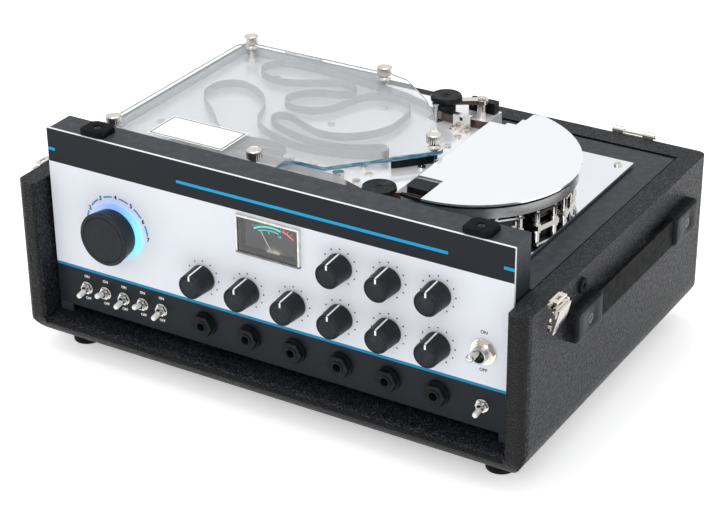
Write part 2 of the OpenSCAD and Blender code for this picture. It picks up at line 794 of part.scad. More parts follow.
module small_knob(i, z) {
    color("#2a2b2d") translate([col_first + i * col_pitch, 0, z])
        knob(knob_r, knob_base_r, knob_l, knob_gap, panel_back + pot_deep - 2, knob_r * 0.55, knob_r * 0.82);
}
module volume_knob() small_knob(0, low_z);
module chorus_rate_knob() small_knob(1, low_z);
module chorus_depth_knob() small_knob(2, low_z);
module reverb_volume_knob() small_knob(3, low_z);
module speed_knob() small_knob(4, low_z);
module echo_volume_knob() small_knob(5, low_z);
module bass_knob() small_knob(3, high_z);
module treble_knob() small_knob(4, high_z);
module feedback_knob() small_knob(5, high_z);
module mode_knob() {
    color("#2c2d2f") translate([mode_x, 0, panel_z + mode_up]) rotate([0, mode_rest, 0])
        knob(mode_r, mode_r - 1.8, mode_l, mode_gap, panel_back + mode_body_deep - 4,
            mode_r + 0.2, mode_r * 0.84);
}
module mode_light_ring() {
    color("#7fe6f5") translate([mode_x, 0, panel_z + mode_up]) difference() {
        rod_y(ring_r, panel_y - ring_t, panel_y);
        rod_y(nut_room_r, panel_y - ring_t - 1, panel_y + 1);
    }
}
// a control's body, bushing and nut, with a bore for the shaft
module rotary_body(r, deep) {
    back = panel_back;
    difference() {
        union() {
            rod_y(r, back, back + deep);
            rod_y(bush_r, panel_y - bush_out, back + eps);
        }
        rod_y(shaft_r + fit, panel_y - bush_out - 1, back + deep - 1.5);
    }
    difference() {
        hex_y(10, panel_y - 2.2, panel_y);
        rod_y(bush_r + fit, panel_y - 3, panel_y + 1);
    }
}
module control_bodies() {
    color("#a9abad") {
        at_controls() rotary_body(pot_r, pot_deep);
        translate([mode_x, 0, panel_z + mode_up]) rotary_body(mode_body_r, mode_body_deep);
        at_toggles() difference() {
            union() {
                span([-4, panel_back, -6.5], [4, panel_back + 11, 6.5]);
                rod_y(t_bush_r, panel_y - t_out, panel_back + eps);
            }
            rod_y(t_bore_r, panel_y - t_out - 1, panel_y + t_pivot + 3);
        }
        translate([right_x, 0, power_z]) difference() {
            union() {
                span([-9, panel_back, -14], [9, panel_back + 20, 14]);
                rod_y(p_bush_r, panel_y - p_out, panel_back + eps);
            }
            rod_y(p_ball_r + fit, panel_y, panel_y + p_pivot + p_ball_r + 1);
            rod_y(p_mouth_r, panel_y - p_out - 1, panel_y - 2);
            translate([0, panel_y + 0.5, 0]) rotate([90, 0, 0])
                cylinder(r1 = p_ball_r + fit, r2 = p_mouth_r, h = 2.6);
        }
    }
}
module toggle_nuts() {
    color("#d9d6d2") {
        at_toggles() difference() {
            union() {
                rod_y(4.9, panel_y - 0.6, panel_y);
                hex_y(t_af, panel_y - 2.6, panel_y - 0.6);
            }
            rod_y(t_bush_r + fit, panel_y - 4, panel_y + 1);
        }
        translate([right_x, 0, power_z]) difference() {
            union() {
                rod_y(9.6, panel_y - 1.2, panel_y);
                hex_y(15, panel_y - 3.6, panel_y - 1.2);
                rod_y(7.2, panel_y - 5.4, panel_y - 3.6);
            }
            rod_y(p_bush_r + fit, panel_y - 7, panel_y + 1);
        }
    }
}
// a small toggle lever, leaning up by lean
module small_lever(x, lean) {
    color("#f2f2f0") translate([x, panel_y + t_pivot, toggle_z]) rotate([-lean, 0, 0]) {
        sphere(r = t_bore_r - fit);
        rod_y(t_neck_r, -t_len + t_cap_r, 0);
        rod_y(t_cap_r, -t_len + t_cap_r, -(t_out + t_pivot) - 1);
        translate([0, -t_len + t_cap_r, 0]) sphere(r = t_cap_r);
    }
}
module direct_lever() small_lever(toggle_xs[0], -toggle_lean);
module motor_lever() small_lever(toggle_xs[1], toggle_lean);
module sound_on_sound_lever() small_lever(toggle_xs[2], -toggle_lean);
module echo_lever() small_lever(toggle_xs[3], toggle_lean);
module chorus_lever() small_lever(toggle_xs[4], -toggle_lean);
module output_level_lever() small_lever(right_x, -toggle_lean);
module power_lever() {
    color("#d8d4cf") translate([right_x, panel_y + p_pivot, power_z]) rotate([-power_lean, 0, 0]) {
        sphere(r = p_ball_r);
        translate([0, -p_len + p_tip_r, 0]) rotate([-90, 0, 0])
            cylinder(r1 = p_tip_r - 0.1, r2 = p_neck_r, h = p_len - p_tip_r);
        translate([0, -p_len + p_tip_r, 0]) sphere(r = p_tip_r);
    }
}
module jack_bodies() {
    color("#17181a") at_jacks() difference() {
        union() {
            span([-j_body / 2, panel_back, -j_body / 2],
                [j_body / 2, panel_back + jack_deep + 2, j_body / 2]);
            rod_y(j_bush_r, panel_y - jack_out, panel_back + eps);
        }
        rod_y(jack_r, panel_y - jack_out - 1, panel_back + jack_deep);
    }
}
module jack_nuts() {
    color("#232427") at_jacks() difference() {
        union() {
            rod_y(j_ring_r, panel_y - j_ring_t, panel_y);
            hex_y(j_af, panel_y - jack_out + 0.6, panel_y - j_ring_t);
        }
        rod_y(j_bush_r + fit, panel_y - jack_out - 1, panel_y + 1);
    }
}

// ---- meter ----
module meter_box(w, h, y0, y1) {
    translate([meter_x, 0, meter_z]) span([-w / 2, y0, -h / 2], [w / 2, y1, h / 2]);
}
module meter_case() {
    color("#26272a") {
        difference() {
            meter_box(m_in_w, m_in_h, panel_y + 0.2, panel_y + m_deep);
            meter_box(m_in_w - 2 * m_wall, m_in_h - 2 * m_wall, panel_y - 1, panel_y + m_deep - m_wall);
        }
        // dial plate, and the movement behind it
        difference() {
            meter_box(m_in_w - 2 * m_wall - 0.4, m_in_h - 2 * m_wall - 0.4, dial_y, dial_y + 1);
            translate([meter_x, 0, pivot_z]) rod_y(0.9, dial_y - 1, dial_y + 2);
        }
        translate([meter_x, 0, pivot_z]) difference() {
            span([-9, dial_y + 1, -0.2], [9, panel_y + m_deep - m_wall, 12]);
            rod_y(0.6 + fit, dial_y, dial_y + 6);
        }
    }
}
module meter_window() {
    color("#e8f2f4", 0.5) difference() {
        meter_box(meter_w, meter_h, panel_y - m_front, panel_y);
        meter_box(m_in_w, m_in_h, panel_y - m_front + m_sheet, panel_y + 1);
    }
}
module meter_needle() {
    color("#f4f4f4") translate([meter_x, 0, pivot_z]) rotate([0, -needle_lean, 0]) {
        rod_y(1.4, needle_y - 0.5, needle_y + 0.9);
        rod_y(0.6, needle_y, dial_y + 5);
        span([-0.3, needle_y - 0.2, 0], [0.3, needle_y + 0.2, needle_len]);
    }
}

// ---- deck ----
module deck_plate() {
    edge = box_back + 2;
    color("#dfe4ea") difference() {
        union() {
            span([-plate_x, edge, plate_z - plate_t], [plate_x, rear_edge, plate_z]);
            for (x = [-plate_x + plate_foot_in, 0, plate_x - plate_foot_in],
                y = [edge + plate_foot_in, rear_edge - plate_foot_in])
                translate([x, y, deck_z]) cylinder(r = 4, h = plate_raise + eps);
        }
        translate([cx, cy, deck_z - 1]) cylinder(r = bearing_r + 0.4, h = 20);
        at_plate_screws() cylinder(r = 1.7, h = 20, center = true);
    }
}
// the polished plate's screws to the right of the tray
module at_plate_screws() {
    for (y = [box_back + 2 + plate_foot_in, rear_edge - plate_foot_in])
        translate([plate_x - plate_foot_in, y, plate_z]) children();
}
plate_foot_in = 9;
module tape_tray() {
    t = 1.5;
    color("#e9eaec") difference() {
        span([-plate_x, tray_y, plate_z], [tray_x, rear_edge, tray_z]);
        span([-plate_x + t, tray_y + t, plate_z - 1], [tray_x - t, rear_edge - t, tray_z - tray_t]);
        translate([cx, cy, plate_z]) cylinder(r = bearing_r + 0.4, h = 30);
        for (p = tray_screws) translate([p[0], front_y + p[1], tray_z - 5]) cylinder(r = 1.7, h = 10);
    }
}
// the clear cover's outline: x, distance from the front of the case
cover_front = tray_front - 2;
cover_outline = concat([[-plate_x - overhang, cover_front + 7], [-plate_x - overhang + 7, cover_front]],
    fitted([[-27, cover_front], [-22, cover_front + 5], [-22, 72], [-17, 77], [8, 78],
        [66, 143], [66, 147], [53, 164], [37, 187], [25, 204], [13, 218], [-9, 237], [-20, 246]]),
    [[-36, plate_rear + overhang], [-plate_x - overhang + 9, plate_rear + overhang],
        [-plate_x - overhang, plate_rear + overhang - 9]]);
wall_t = 2.4;
wall_in = 6;
module chamber_cover() {
    color("#dff0f4", 0.35) difference() {
        union() {
            translate([0, front_y, cover_z]) linear_extrude(cover_t) polygon(cover_outline);
            // side walls on the tray, to the left and to the rear
            span([-plate_x, tray_y + wall_in, tray_z], [-plate_x + wall_t, rear_edge, cover_z + eps]);
            span([-plate_x, rear_edge - wall_t, tray_z], [-40, rear_edge, cover_z + eps]);
        }
        for (p = screws) translate([p[0], front_y + p[1], cover_z - 1]) cylinder(r = 2.2, h = cover_t + 2);
    }
}
module cover_thumbscrews() {
    color("#d6d2cd") for (p = screws) translate([p[0], front_y + p[1], 0]) {
        // standoff
        translate([0, 0, tray_z]) difference() {
            cylinder(r = 3.2, h = cover_gap);
            translate([0, 0, 2]) cylinder(r = 1.55, h = cover_gap);
        }
        // knurled cap with its neck and stud
        translate([0, 0, cover_top]) {
            cylinder(r = 4.8, h = 1);
            translate([0, 0, 1]) cylinder(r1 = 4.6, r2 = 3.4, h = 2.4);
            translate([0, 0, 3.4]) cylinder(r1 = 3.6, r2 = screw_r, h = 1.4);
            translate([0, 0, 4.8]) cylinder(r = screw_r, h = 6.4);
            translate([0, 0, -cover_t - 4.5]) cylinder(r = 1.5, h = cover_t + 4.6);
        }
    }
}
// the tape's centre line, x and distance from the front: folds in the chamber, then round the heads
fold_points = [[26.4, 211.85], [10, 219.5], [-14, 227.4], [-44, 232], [-76, 236], [-106, 238.5], [-127, 235],
    [-136, 221], [-129, 208], [-110, 203], [-92, 209], [-75, 219], [-59, 223], [-47, 215], [-54, 204],
    [-72, 198], [-84, 187], [-86, 173], [-74, 165], [-57, 168], [-46, 180], [-41, 197], [-34, 212],
    [-18, 219], [-1, 214], [8, 201], [10, 185], [10, 168], [2, 151], [-13, 138], [-32, 135], [-50, 142],
    [-65, 149], [-75, 147], [-75, 137], [-63, 129], [-46, 123], [-27, 119], [-8, 121], [10, 128], [24, 136],
    [31, 127], [17, 118], [0, 112], [-18, 108], [-38, 108], [-56, 113], [-72, 121], [-84, 132], [-90, 148],
    [-98, 164], [-114, 178], [-134, 184], [-147, 174], [-148, 156], [-138, 142], [-124, 130], [-112, 118],
    [-101, 106], [-87, 98], [-70, 99], [-52, 101], [-37, 98], [-38, 90], [-56, 88], [-74, 86], [-83, 78],
    [-73, 71], [-55, 73], [-40, 78.5], [-26, 79.6], [-5, 78.6], [17, 77.2], [34, 71.5]];
wrap_r = guide_r + seat + tape_t / 2 + 0.2;
arc_from = -88;
arc_to = 84;
arc_steps = 34;
arc_points = [for (i = [0:arc_steps]) let (a = arc_from + (arc_to - arc_from) * i / arc_steps)
    [head_x + tape_arc * cos(a), head_y + tape_arc * sin(a)]];
roller_points = concat([for (a = [-115:14:-45]) [57 + wrap_r * cos(a), 71.5 + wrap_r * sin(a)]],
    [[67, 71], [71.4, 75], [75.6, 77.2], [81, 77.7], [87, 77.4]]);
path = concat(fitted(fold_points), roller_points, arc_points,
    [[88, 212.4], [72, 211.2], [56, 209.9], [42, 209]]);
tape_steps = 5;
function spline(p0, p1, p2, p3, t) = 0.5 * ((2 * p1) + (p2 - p0) * t + (2 * p0 - 5 * p1 + 4 * p2 - p3) * t * t
    + (3 * p1 - p0 - 3 * p2 + p3) * t * t * t);
count = len(path);
tape_line = [for (i = [0:count - 1], s = [0:(i >= len(fold_points) ? 0 : tape_steps - 1)])
    spline(path[(i + count - 1) % count], path[i], path[(i + 1) % count], path[(i + 2) % count],
        s / tape_steps)];
tape_count = len(tape_line);
function side_of(i, off) = let (a = tape_line[(i + tape_count - 1) % tape_count],
    b = tape_line[(i + 1) % tape_count], d = (b - a) / norm(b - a))
    tape_line[i] + off * [-d[1], d[0]];
module tape_loop() {
    color("#6e6d70", 0.8) translate([0, front_y, tape_z]) linear_extrude(tape_w) difference() {
        polygon([for (i = [0:tape_count - 1]) side_of(i, -tape_t / 2)]);
        polygon([for (i = [0:tape_count - 1]) side_of(i, tape_t / 2)]);
    }
}
// a stretch of a ring round the heads' centre
module head_ring(r0, r1, z, h, a0, a1) {
    translate([hx, hy, z]) rotate([0, 0, a0]) rotate_extrude(angle = a1 - a0)
        translate([r0, 0]) square([r1 - r0, h]);
}
module tape_guards() {
    color("#141415") {
        // gasket between the head cover and its band
        head_ring(band_r - 1.9, band_r - 0.1, band_z + band_h, gasket_t, band_from, band_to);
        // end block in the head cover's notch, standing on the plate
        translate([0, front_y, plate_z]) linear_extrude(head_cover_z - plate_z - 0.5)
            round_rect([edge_x - 2, 84], [notch_x - 1, notch_y - 1], 3);
        // wall of the chamber beside the clear cover's right corner
        translate([0, front_y, tray_z]) linear_extrude(cover_gap - seat)
            polygon([[60.5, 142.2], [61.7, 141.2], [46, 124], [40, 118], [38.5, 119.3], [45, 126.5]]);
    }
}
lobe_at = [-25.7, -6.4];
lobe_r = head_cover_r + 26.5;
module head_outline() {
    difference() {
        union() {
            circle(r = head_cover_r);
            // the rear lobe, on a wider arc that leaves the circle smoothly
            intersection() {
                translate(lobe_at) circle(r = lobe_r);
                polygon([[0, 0], [90, 38], [90, 90], [8, 90], [3, 89]]);
            }
        }
        translate([edge_x - head_x - 200, -100]) square([200, 200]);
        translate([edge_x - head_x - 1, -100]) square([notch_x - edge_x + 1, notch_y - head_y + 100]);
        translate([edge_x - head_x - 1, 62]) square([13.4, 40]);
        translate([edge_x - head_x + 12, 66]) square([7.6, 40]);
    }
}
module head_cover() {
    color("#eceef2") translate([hx, hy, head_cover_z]) linear_extrude(head_cover_t) head_outline();
}
module head_shield() {
    color("#c9c9ca") head_ring(band_r - band_t, band_r, band_z, band_h, band_from, band_to);
}
// a head's frame: x outward from the centre, its face towards the tape
module at_heads() {
    for (a = head_angles) translate([hx, hy, 0]) rotate(a) children();
}
head_face = tape_arc - tape_t / 2 - seat;
module tape_heads() {
    color("#3a3b3f") at_heads() intersection() {
        span([head_face - head_deep, -head_w / 2, head_low], [head_face + 1, head_w / 2, head_top]);
        cylinder(r = head_face, h = 400, $fn = 96);
    }
}
module head_brackets() {
    in = head_face - head_deep;
    color("#c4c3c1") {
        at_heads() {
            // base, inner upright and the tongue that holds the head
            span([in - 6, -post_side - 2, plate_z], [post_out + 3, post_side + 2, plate_z + 2]);
            span([in - 4, -head_w / 2, plate_z + 2], [in - 2.2, head_w / 2, head_top - 2]);
            span([in - 4, -3, head_low + 4], [in, 3, head_low + 8]);
            translate([head_face - 9, 0, plate_z + 2]) cylinder(r = 3, h = head_low - plate_z - 2);
            // outer bridge on two posts, with its screws
            for (y = [-post_side, post_side]) translate([post_out, y, plate_z + 2]) {
                cylinder(r = post_r, h = post_h - 2);
                cylinder(r = post_r + 0.9, h = 1.6);
                translate([0, 0, post_h - 2 - eps]) cylinder(r = post_r, h = 1.4);
            }
            span([head_face + 0.6, -post_side - 2.4, plate_z + post_h - 1.4],
                [post_out + 2.6, post_side + 2.4, plate_z + post_h]);
        }
        for (p = cover_posts) translate([p[0], front_y + p[1], plate_z])
            cylinder(r = 3, h = head_cover_z - plate_z);
    }
}
module guide_posts() {
    color("#cfcac4") {
        // flanged posts at the mouth of the chamber
        for (p = fitted([[-26, 84.8], [-5, 83.8], [17, 82.4]])) translate([p[0], front_y + p[1], tray_z]) {
            cylinder(r = 4.2, h = cover_gap - seat);
        }
        // posts under the guide roller and the pinch arm
        translate([guide_x, guide_y, tray_z]) {
            cylinder(r = pin_r, h = 9);
            cylinder(r = 3, h = 0.4);
        }
        translate([arm_x, arm_y, tray_z]) {
            cylinder(r = 3.4, h = arm_z - tray_z - seat);
            cylinder(r = 2, h = arm_z - tray_z + arm_t + 1);
            translate([0, 0, arm_z - tray_z + arm_t + seat]) cylinder(r = 3.2, h = 1.2);
        }
        for (p = tray_screws) top_screw(p[0], front_y + p[1], tray_z, 3, 6);
        at_plate_screws() top_screw(0, 0, 0, 3, plate_t);
        // the capstan's bearing
        translate([cx, cy, 0]) difference() {
            union() {
                translate([0, 0, fly_z + fly_t + seat])
                    cylinder(r = bearing_r, h = tray_z - fly_z - fly_t - 0.6);
                translate([0, 0, deck_z - steel_t - 3]) cylinder(r = 11, h = 3);
            }
            translate([0, 0, fly_z]) cylinder(r = cap_r + fit, h = 100);
        }
    }
}
module capstan() {
    color("#b9bcc0") translate([cx, cy, 0]) {
        difference() {
            translate([0, 0, fly_z]) cylinder(r = fly_r, h = fly_t);
            translate([0, 0, fly_z + 4]) difference() {
                cylinder(r = fly_r - rim_w, h = fly_t);
                translate([0, 0, -1]) cylinder(r = hub_r, h = fly_t + 2);
            }
        }
        translate([0, 0, fly_z + eps]) cylinder(r = cap_r, h = post_top - fly_z - eps);
        translate([0, 0, post_top - 1]) cylinder(r = cap_r + 0.8, h = 1);
    }
}
module pinch_roller() {
    color("#2b201c") translate([roller_x, roller_y, 0]) {
        // rubber roller below the arm
        difference() {
            translate([0, 0, tray_z + 1]) cylinder(r = roller_r, h = arm_z - tray_z - 1 - seat);
            translate([0, 0, tray_z]) cylinder(r = pin_r + fit, h = 20);
        }
        // cap disc above it
        difference() {
            union() {
                translate([0, 0, disc_z]) cylinder(r = disc_r, h = disc_t - 1.4);
                translate([0, 0, disc_z + disc_t - 1.4]) cylinder(r1 = disc_r, r2 = disc_r - 0.8, h = 1.4);
            }
            translate([0, 0, disc_z - 1]) cylinder(r = pin_r + fit, h = 20);
            translate([0, 0, disc_z + disc_t - 1.8]) cylinder(r = 3.6, h = 4);
        }
    }
}
module pinch_arm() {
    across = [arm_y - roller_y, roller_x - arm_x] / norm([arm_y - roller_y, roller_x - arm_x]) * 3.5;
    color("#d2cfca") {
        translate([0, 0, arm_z]) linear_extrude(arm_t) difference() {
            union() {
                translate([arm_x, arm_y]) circle(r = 5);
                translate([roller_x, roller_y]) circle(r = 4);
                polygon([[arm_x, arm_y] + across, [roller_x, roller_y] + across,
                    [roller_x, roller_y] - across, [arm_x, arm_y] - across]);
            }
            translate([arm_x, arm_y]) circle(r = 2 + fit);
        }
        // the roller's pin, with a collar that carries the roller
        translate([roller_x, roller_y, 0]) {
            translate([0, 0, tray_z + 0.3]) cylinder(r = 2.6, h = 0.5);
            translate([0, 0, tray_z + 0.5]) cylinder(r = pin_r, h = disc_z + disc_t - 1.4 - tray_z);
        }
    }
}
module guide_roller() {
    color("#36373a") translate([guide_x, guide_y, 0]) difference() {
        union() {
            translate([0, 0, tray_z + 0.7]) cylinder(r = guide_r, h = 7.2);
            translate([0, 0, tray_z + 7.2]) cylinder(r1 = disc_r + 0.5, r2 = disc_r, h = 2.5);
        }
        translate([0, 0, tray_z]) cylinder(r = pin_r + fit, h = 20);
        translate([0, 0, tray_z + 8.6]) cylinder(r = 3.6, h = 4);
    }
}
module drive_motor() {
    top = deck_z - steel_t;
    color("#9a9da1") translate([motor_x, motor_y, 0]) difference() {
        union() {
            translate([0, 0, motor_z]) cylinder(r = motor_r, h = top - motor_flange_t - motor_z);
            translate([-motor_flange / 2, -motor_flange / 2, top - motor_flange_t])
                cube([motor_flange, motor_flange, motor_flange_t]);
        }
        translate([0, 0, motor_z - 1]) cylinder(r = motor_shaft_r + fit, h = 20);
    }
}
belt_z = fly_z + 4;
belt_h = 5;
module motor_pulley() {
    color("#c2a15a") translate([motor_x, motor_y, 0]) {
        translate([0, 0, fly_z + 1]) cylinder(r = pulley_r, h = 11);
        translate([0, 0, fly_z + 1]) cylinder(r = pulley_r + 2, h = 1.5);
        translate([0, 0, fly_z + 10.5]) cylinder(r = pulley_r + 2, h = 1.5);
        translate([0, 0, fly_z + 11]) cylinder(r = motor_shaft_r, h = motor_z - fly_z - 11 + 16);
    }
}
module belt_shape(extra) {
    hull() {
        translate([cx, cy]) circle(r = fly_r + seat + 0.1 + extra, $fn = 90);
        translate([motor_x, motor_y]) circle(r = pulley_r + seat + 0.1 + extra, $fn = 32);
    }
}
module drive_belt() {
    color("#1c1c1c") translate([0, 0, belt_z]) linear_extrude(belt_h) difference() {
        belt_shape(1);
        belt_shape(0);
    }
}
coil_box_x = 38;
coil_box_y = 238.5;
coil_box_w = 22;
coil_box_d = 7.5;
module pinch_solenoid() {
    color("#202124") translate([0, front_y, tray_z]) {
        span([coil_box_x, coil_box_y, 0], [coil_box_x + coil_box_w, coil_box_y + coil_box_d, 9]);
        translate([coil_box_x + 6, 0, 5]) rod_y(1.8, coil_box_y - 6.5, coil_box_y + 1);
    }
}

case_shell();
case_feet();
handle_caps();
handle_strap();
latch_plates();
latch_lever_left();
latch_lever_right();
lid_hinges();
case_screws();
rubber_bumpers();
mains_inlet();
chassis_deck();
front_panel();
circuit_board();
power_transformer();
spring_reverb_tank();
mode_knob();
mode_light_ring();
volume_knob();
chorus_rate_knob();
chorus_depth_knob();
reverb_volume_knob();
speed_knob();
echo_volume_knob();
bass_knob();
treble_knob();
feedback_knob();
control_bodies();
toggle_nuts();
direct_lever();
motor_lever();
sound_on_sound_lever();
echo_lever();
chorus_lever();
power_lever();
output_level_lever();
jack_bodies();
jack_nuts();
meter_case();
meter_window();
meter_needle();
deck_plate();
tape_tray();
chamber_cover();
cover_thumbscrews();
tape_loop();
tape_guards();
head_cover();
head_shield();
tape_heads();
head_brackets();
guide_posts();
capstan();
pinch_roller();
pinch_arm();
guide_roller();
drive_motor();
motor_pulley();
drive_belt();
pinch_solenoid();
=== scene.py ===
# Tape echo unit: materials, printing, small fittings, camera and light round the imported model.
# Sizes and places are in millimetres, in the model's own frame, and the helpers make them metres.
# The camera, the lamps, the floor and the scales of the surface patterns are in metres.
import json
import math
import bpy
import bmesh
from mathutils import Matrix, Vector


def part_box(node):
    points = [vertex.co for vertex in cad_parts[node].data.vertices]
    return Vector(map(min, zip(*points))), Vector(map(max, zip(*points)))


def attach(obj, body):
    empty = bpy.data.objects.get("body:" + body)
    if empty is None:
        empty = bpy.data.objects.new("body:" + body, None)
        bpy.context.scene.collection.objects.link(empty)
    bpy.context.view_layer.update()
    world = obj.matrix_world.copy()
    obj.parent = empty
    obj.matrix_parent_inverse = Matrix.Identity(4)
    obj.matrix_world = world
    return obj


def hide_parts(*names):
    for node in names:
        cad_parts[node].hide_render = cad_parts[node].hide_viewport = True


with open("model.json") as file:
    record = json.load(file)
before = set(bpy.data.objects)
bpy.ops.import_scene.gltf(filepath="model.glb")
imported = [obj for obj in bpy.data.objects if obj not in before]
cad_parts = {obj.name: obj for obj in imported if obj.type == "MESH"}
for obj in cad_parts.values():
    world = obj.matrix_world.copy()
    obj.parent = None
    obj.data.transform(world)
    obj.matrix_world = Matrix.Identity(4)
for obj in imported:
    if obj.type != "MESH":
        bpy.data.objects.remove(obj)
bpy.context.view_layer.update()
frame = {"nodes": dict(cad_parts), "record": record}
nodes = frame["nodes"]
scene = bpy.context.scene
MM = 0.001


# ---------------------------------------------------------------- places read from the model
def box_mm(node):
    """A node's lowest and highest corners."""
    lo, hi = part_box(node)
    return [v / MM for v in lo], [v / MM for v in hi]


def mid_xz(node):
    """The middle of a node's box, seen from the front."""
    lo, hi = box_mm(node)
    return (lo[0] + hi[0]) / 2, (lo[2] + hi[2]) / 2


case_low, case_high = box_mm("case_shell")
FRONT, CASE_SIDE = case_low[1], case_high[0]
TRAY_TOP = box_mm("tape_tray")[1][2]
COVER_TOP = box_mm("chamber_cover")[1][2]
PANEL_FACE = box_mm("front_panel")[0][1]
MODE_X, MODE_Z = mid_xz("mode_knob")
METER_X, METER_Z = mid_xz("meter_window")
# the lit ring shows from this radius, and its light fades between these heights under its middle
RING_FROM, RING_DARK, RING_FULL = 18.5, -21.0, -2.0
KNOBS = ["volume_knob", "chorus_rate_knob", "chorus_depth_knob", "reverb_volume_knob", "speed_knob",
         "echo_volume_knob", "bass_knob", "treble_knob", "feedback_knob"]
TOGGLES = ["direct_lever", "motor_lever", "sound_on_sound_lever", "echo_lever", "chorus_lever"]


# ---------------------------------------------------------------- shading helpers
def rgb(red, green, blue):
    """A colour given as 0-255 screen values, as linear values."""
    def linear(value):
        return value / 12.92 if value <= 0.04045 else ((value + 0.055) / 1.055) ** 2.4
    return linear(red / 255), linear(green / 255), linear(blue / 255), 1.0


def grey(value):
    return value, value, value, 1.0


def brighter(colour, factor, lift=0.0):
    return tuple(min(1, c * factor + lift) for c in colour[:3]) + (1,)


class Shading:
    """A node tree, and short ways to build in it that give back an output socket."""

    def __init__(self, tree):
        self.tree = tree
        self.coords = tree.nodes.new("ShaderNodeTexCoord")
        self.pos = self.coords.outputs["Object"]

    def node(self, kind, inputs, **settings):
        """A new node; each input is linked when it is a socket and stored when it is a value."""
        new = self.tree.nodes.new(kind)
        for key, value in settings.items():
            setattr(new, key, value)
        for key, value in inputs.items():
            if hasattr(value, "is_linked"):
                self.tree.links.new(value, new.inputs[key])
            else:
                new.inputs[key].default_value = value
        return new

    def math(self, operation, *values):
        return self.node("ShaderNodeMath", dict(enumerate(values)), operation=operation).outputs[0]

    def mix(self, share, a, b, kind="MIX"):
        """Colour a, with b laid over it by the share."""
        new = self.node("ShaderNodeMix", {0: share, 6: a, 7: b}, data_type="RGBA", blend_type=kind)
        return new.outputs[2]

    def ramp(self, value, *stops):
        """The value turned into a colour or grey; a stop is (value, colour or grey)."""
        new = self.node("ShaderNodeValToRGB", {"Fac": value})
        elements = new.color_ramp.elements
        while len(elements) < len(stops):
            elements.new(0.5)
        for element, (place, colour) in zip(elements, stops):
            element.position = place
            element.color = colour if hasattr(colour, "__len__") else grey(colour)
        return new.outputs["Color"]

    def xyz(self, vector):
        return self.node("ShaderNodeSeparateXYZ", {"Vector": vector}).outputs

    def scaled(self, x, y, z):
        """The surface position, stretched along each axis."""
        return self.node("ShaderNodeMapping", {"Vector": self.pos, "Scale": (x, y, z)}).outputs[0]

    def noise(self, scale, detail=3.0, vector=None):
        inputs = {"Vector": vector or self.pos, "Scale": scale, "Detail": detail, "Roughness": 0.55}
        return self.node("ShaderNodeTexNoise", inputs).outputs["Fac"]

    def cells(self, scale, feature, out="Distance", vector=None):
        inputs = {"Vector": vector or self.pos, "Scale": scale}
        return self.node("ShaderNodeTexVoronoi", inputs, feature=feature).outputs[out]

    def facing(self, axis):
        """How far the surface faces along an axis (0 to 2), from -1 to 1."""
        return self.xyz(self.coords.outputs["Normal"])[axis]

    def offset(self, x_mm, z_mm):
        """How far the surface lies to the right of and above a point, in metres."""
        x, _, z = self.xyz(self.pos)
        return self.math("SUBTRACT", x, x_mm * MM), self.math("SUBTRACT", z, z_mm * MM)

    def length(self, a, b):
        """The hypotenuse over two distances."""
        return self.math("SQRT", self.math("ADD", self.math("MULTIPLY", a, a), self.math("MULTIPLY", b, b)))

    def above(self, value, limit):
        """1 where the value (metres) is over the limit (mm)."""
        return self.math("GREATER_THAN", value, limit * MM)

    def below(self, value, limit):
        """1 where the value (metres) is under the limit (mm)."""
        return self.math("LESS_THAN", value, limit * MM)

    def between(self, value, lo, hi):
        """1 where the value (metres) lies between lo and hi (mm)."""
        from_middle = self.math("ABSOLUTE", self.math("SUBTRACT", value, (hi + lo) / 2 * MM))
        return self.below(from_middle, (hi - lo) / 2)

    def remap(self, value, lo, hi, at_lo=0.0, at_hi=1.0):
        """The value (metres), from at_lo at lo (mm) to at_hi at hi, and level past both."""
        inputs = {"Value": value, 1: lo * MM, 2: hi * MM, 3: at_lo, 4: at_hi}
        return self.node("ShaderNodeMapRange", inputs).outputs[0]


class Mat(Shading):
    """A material that is kept in mats under its name."""

    def __init__(self, name, **sockets):
        material = bpy.data.materials.new(name)
        material.use_nodes = True
        super().__init__(material.node_tree)
        self.shader = self.tree.nodes["Principled BSDF"]
        for key, value in sockets.items():
            self.shader.inputs[key.replace("_", " ")].default_value = value
        mats[name] = material

    def set(self, socket, value):
        self.tree.links.new(value, self.shader.inputs[socket])

    def bump(self, height, strength, depth):
        inputs = {"Height": height, "Strength": strength, "Distance": depth * MM}
        self.set("Normal", self.node("ShaderNodeBump", inputs).outputs[0])

    def rough(self, lo, hi, scale):
        """Roughness that wanders from lo to hi."""
        self.set("Roughness", self.ramp(self.noise(scale, 4.0), (0.3, lo), (0.72, hi)))

    def tinted(self, colour, spread, scale):
        """The colour, lighter and darker by the spread over a noise pattern."""
        dark, light = brighter(colour, 1 - spread), brighter(colour, 1 + spread)
        return self.ramp(self.noise(scale), (0.3, dark), (0.7, light))

    def edge_mask(self):
        """High where the surface turns a sharp edge."""
        edges = self.node("ShaderNodeNewGeometry", {}).outputs["Pointiness"]
        return self.ramp(edges, (0.5, 0.0), (0.56, 1.0))


def metal(name, colour, lo, hi, brushed=None, spread=0.06, bump=0.04, metallic=1.0):
    """A metal with roughness from lo to hi; brushed is how fine its streaks are along each axis."""
    m = Mat(name, Metallic=metallic)
    m.set("Base Color", m.tinted(colour, spread, 40.0))
    if brushed:
        fine = m.noise(1.0, 4.0, m.scaled(*brushed))
        m.set("Roughness", m.ramp(fine, (0.3, lo), (0.7, hi)))
    else:
        fine = m.noise(900.0, 4.0)
        m.rough(lo, hi, 55.0)
    m.bump(fine, bump, 0.2)
    return m


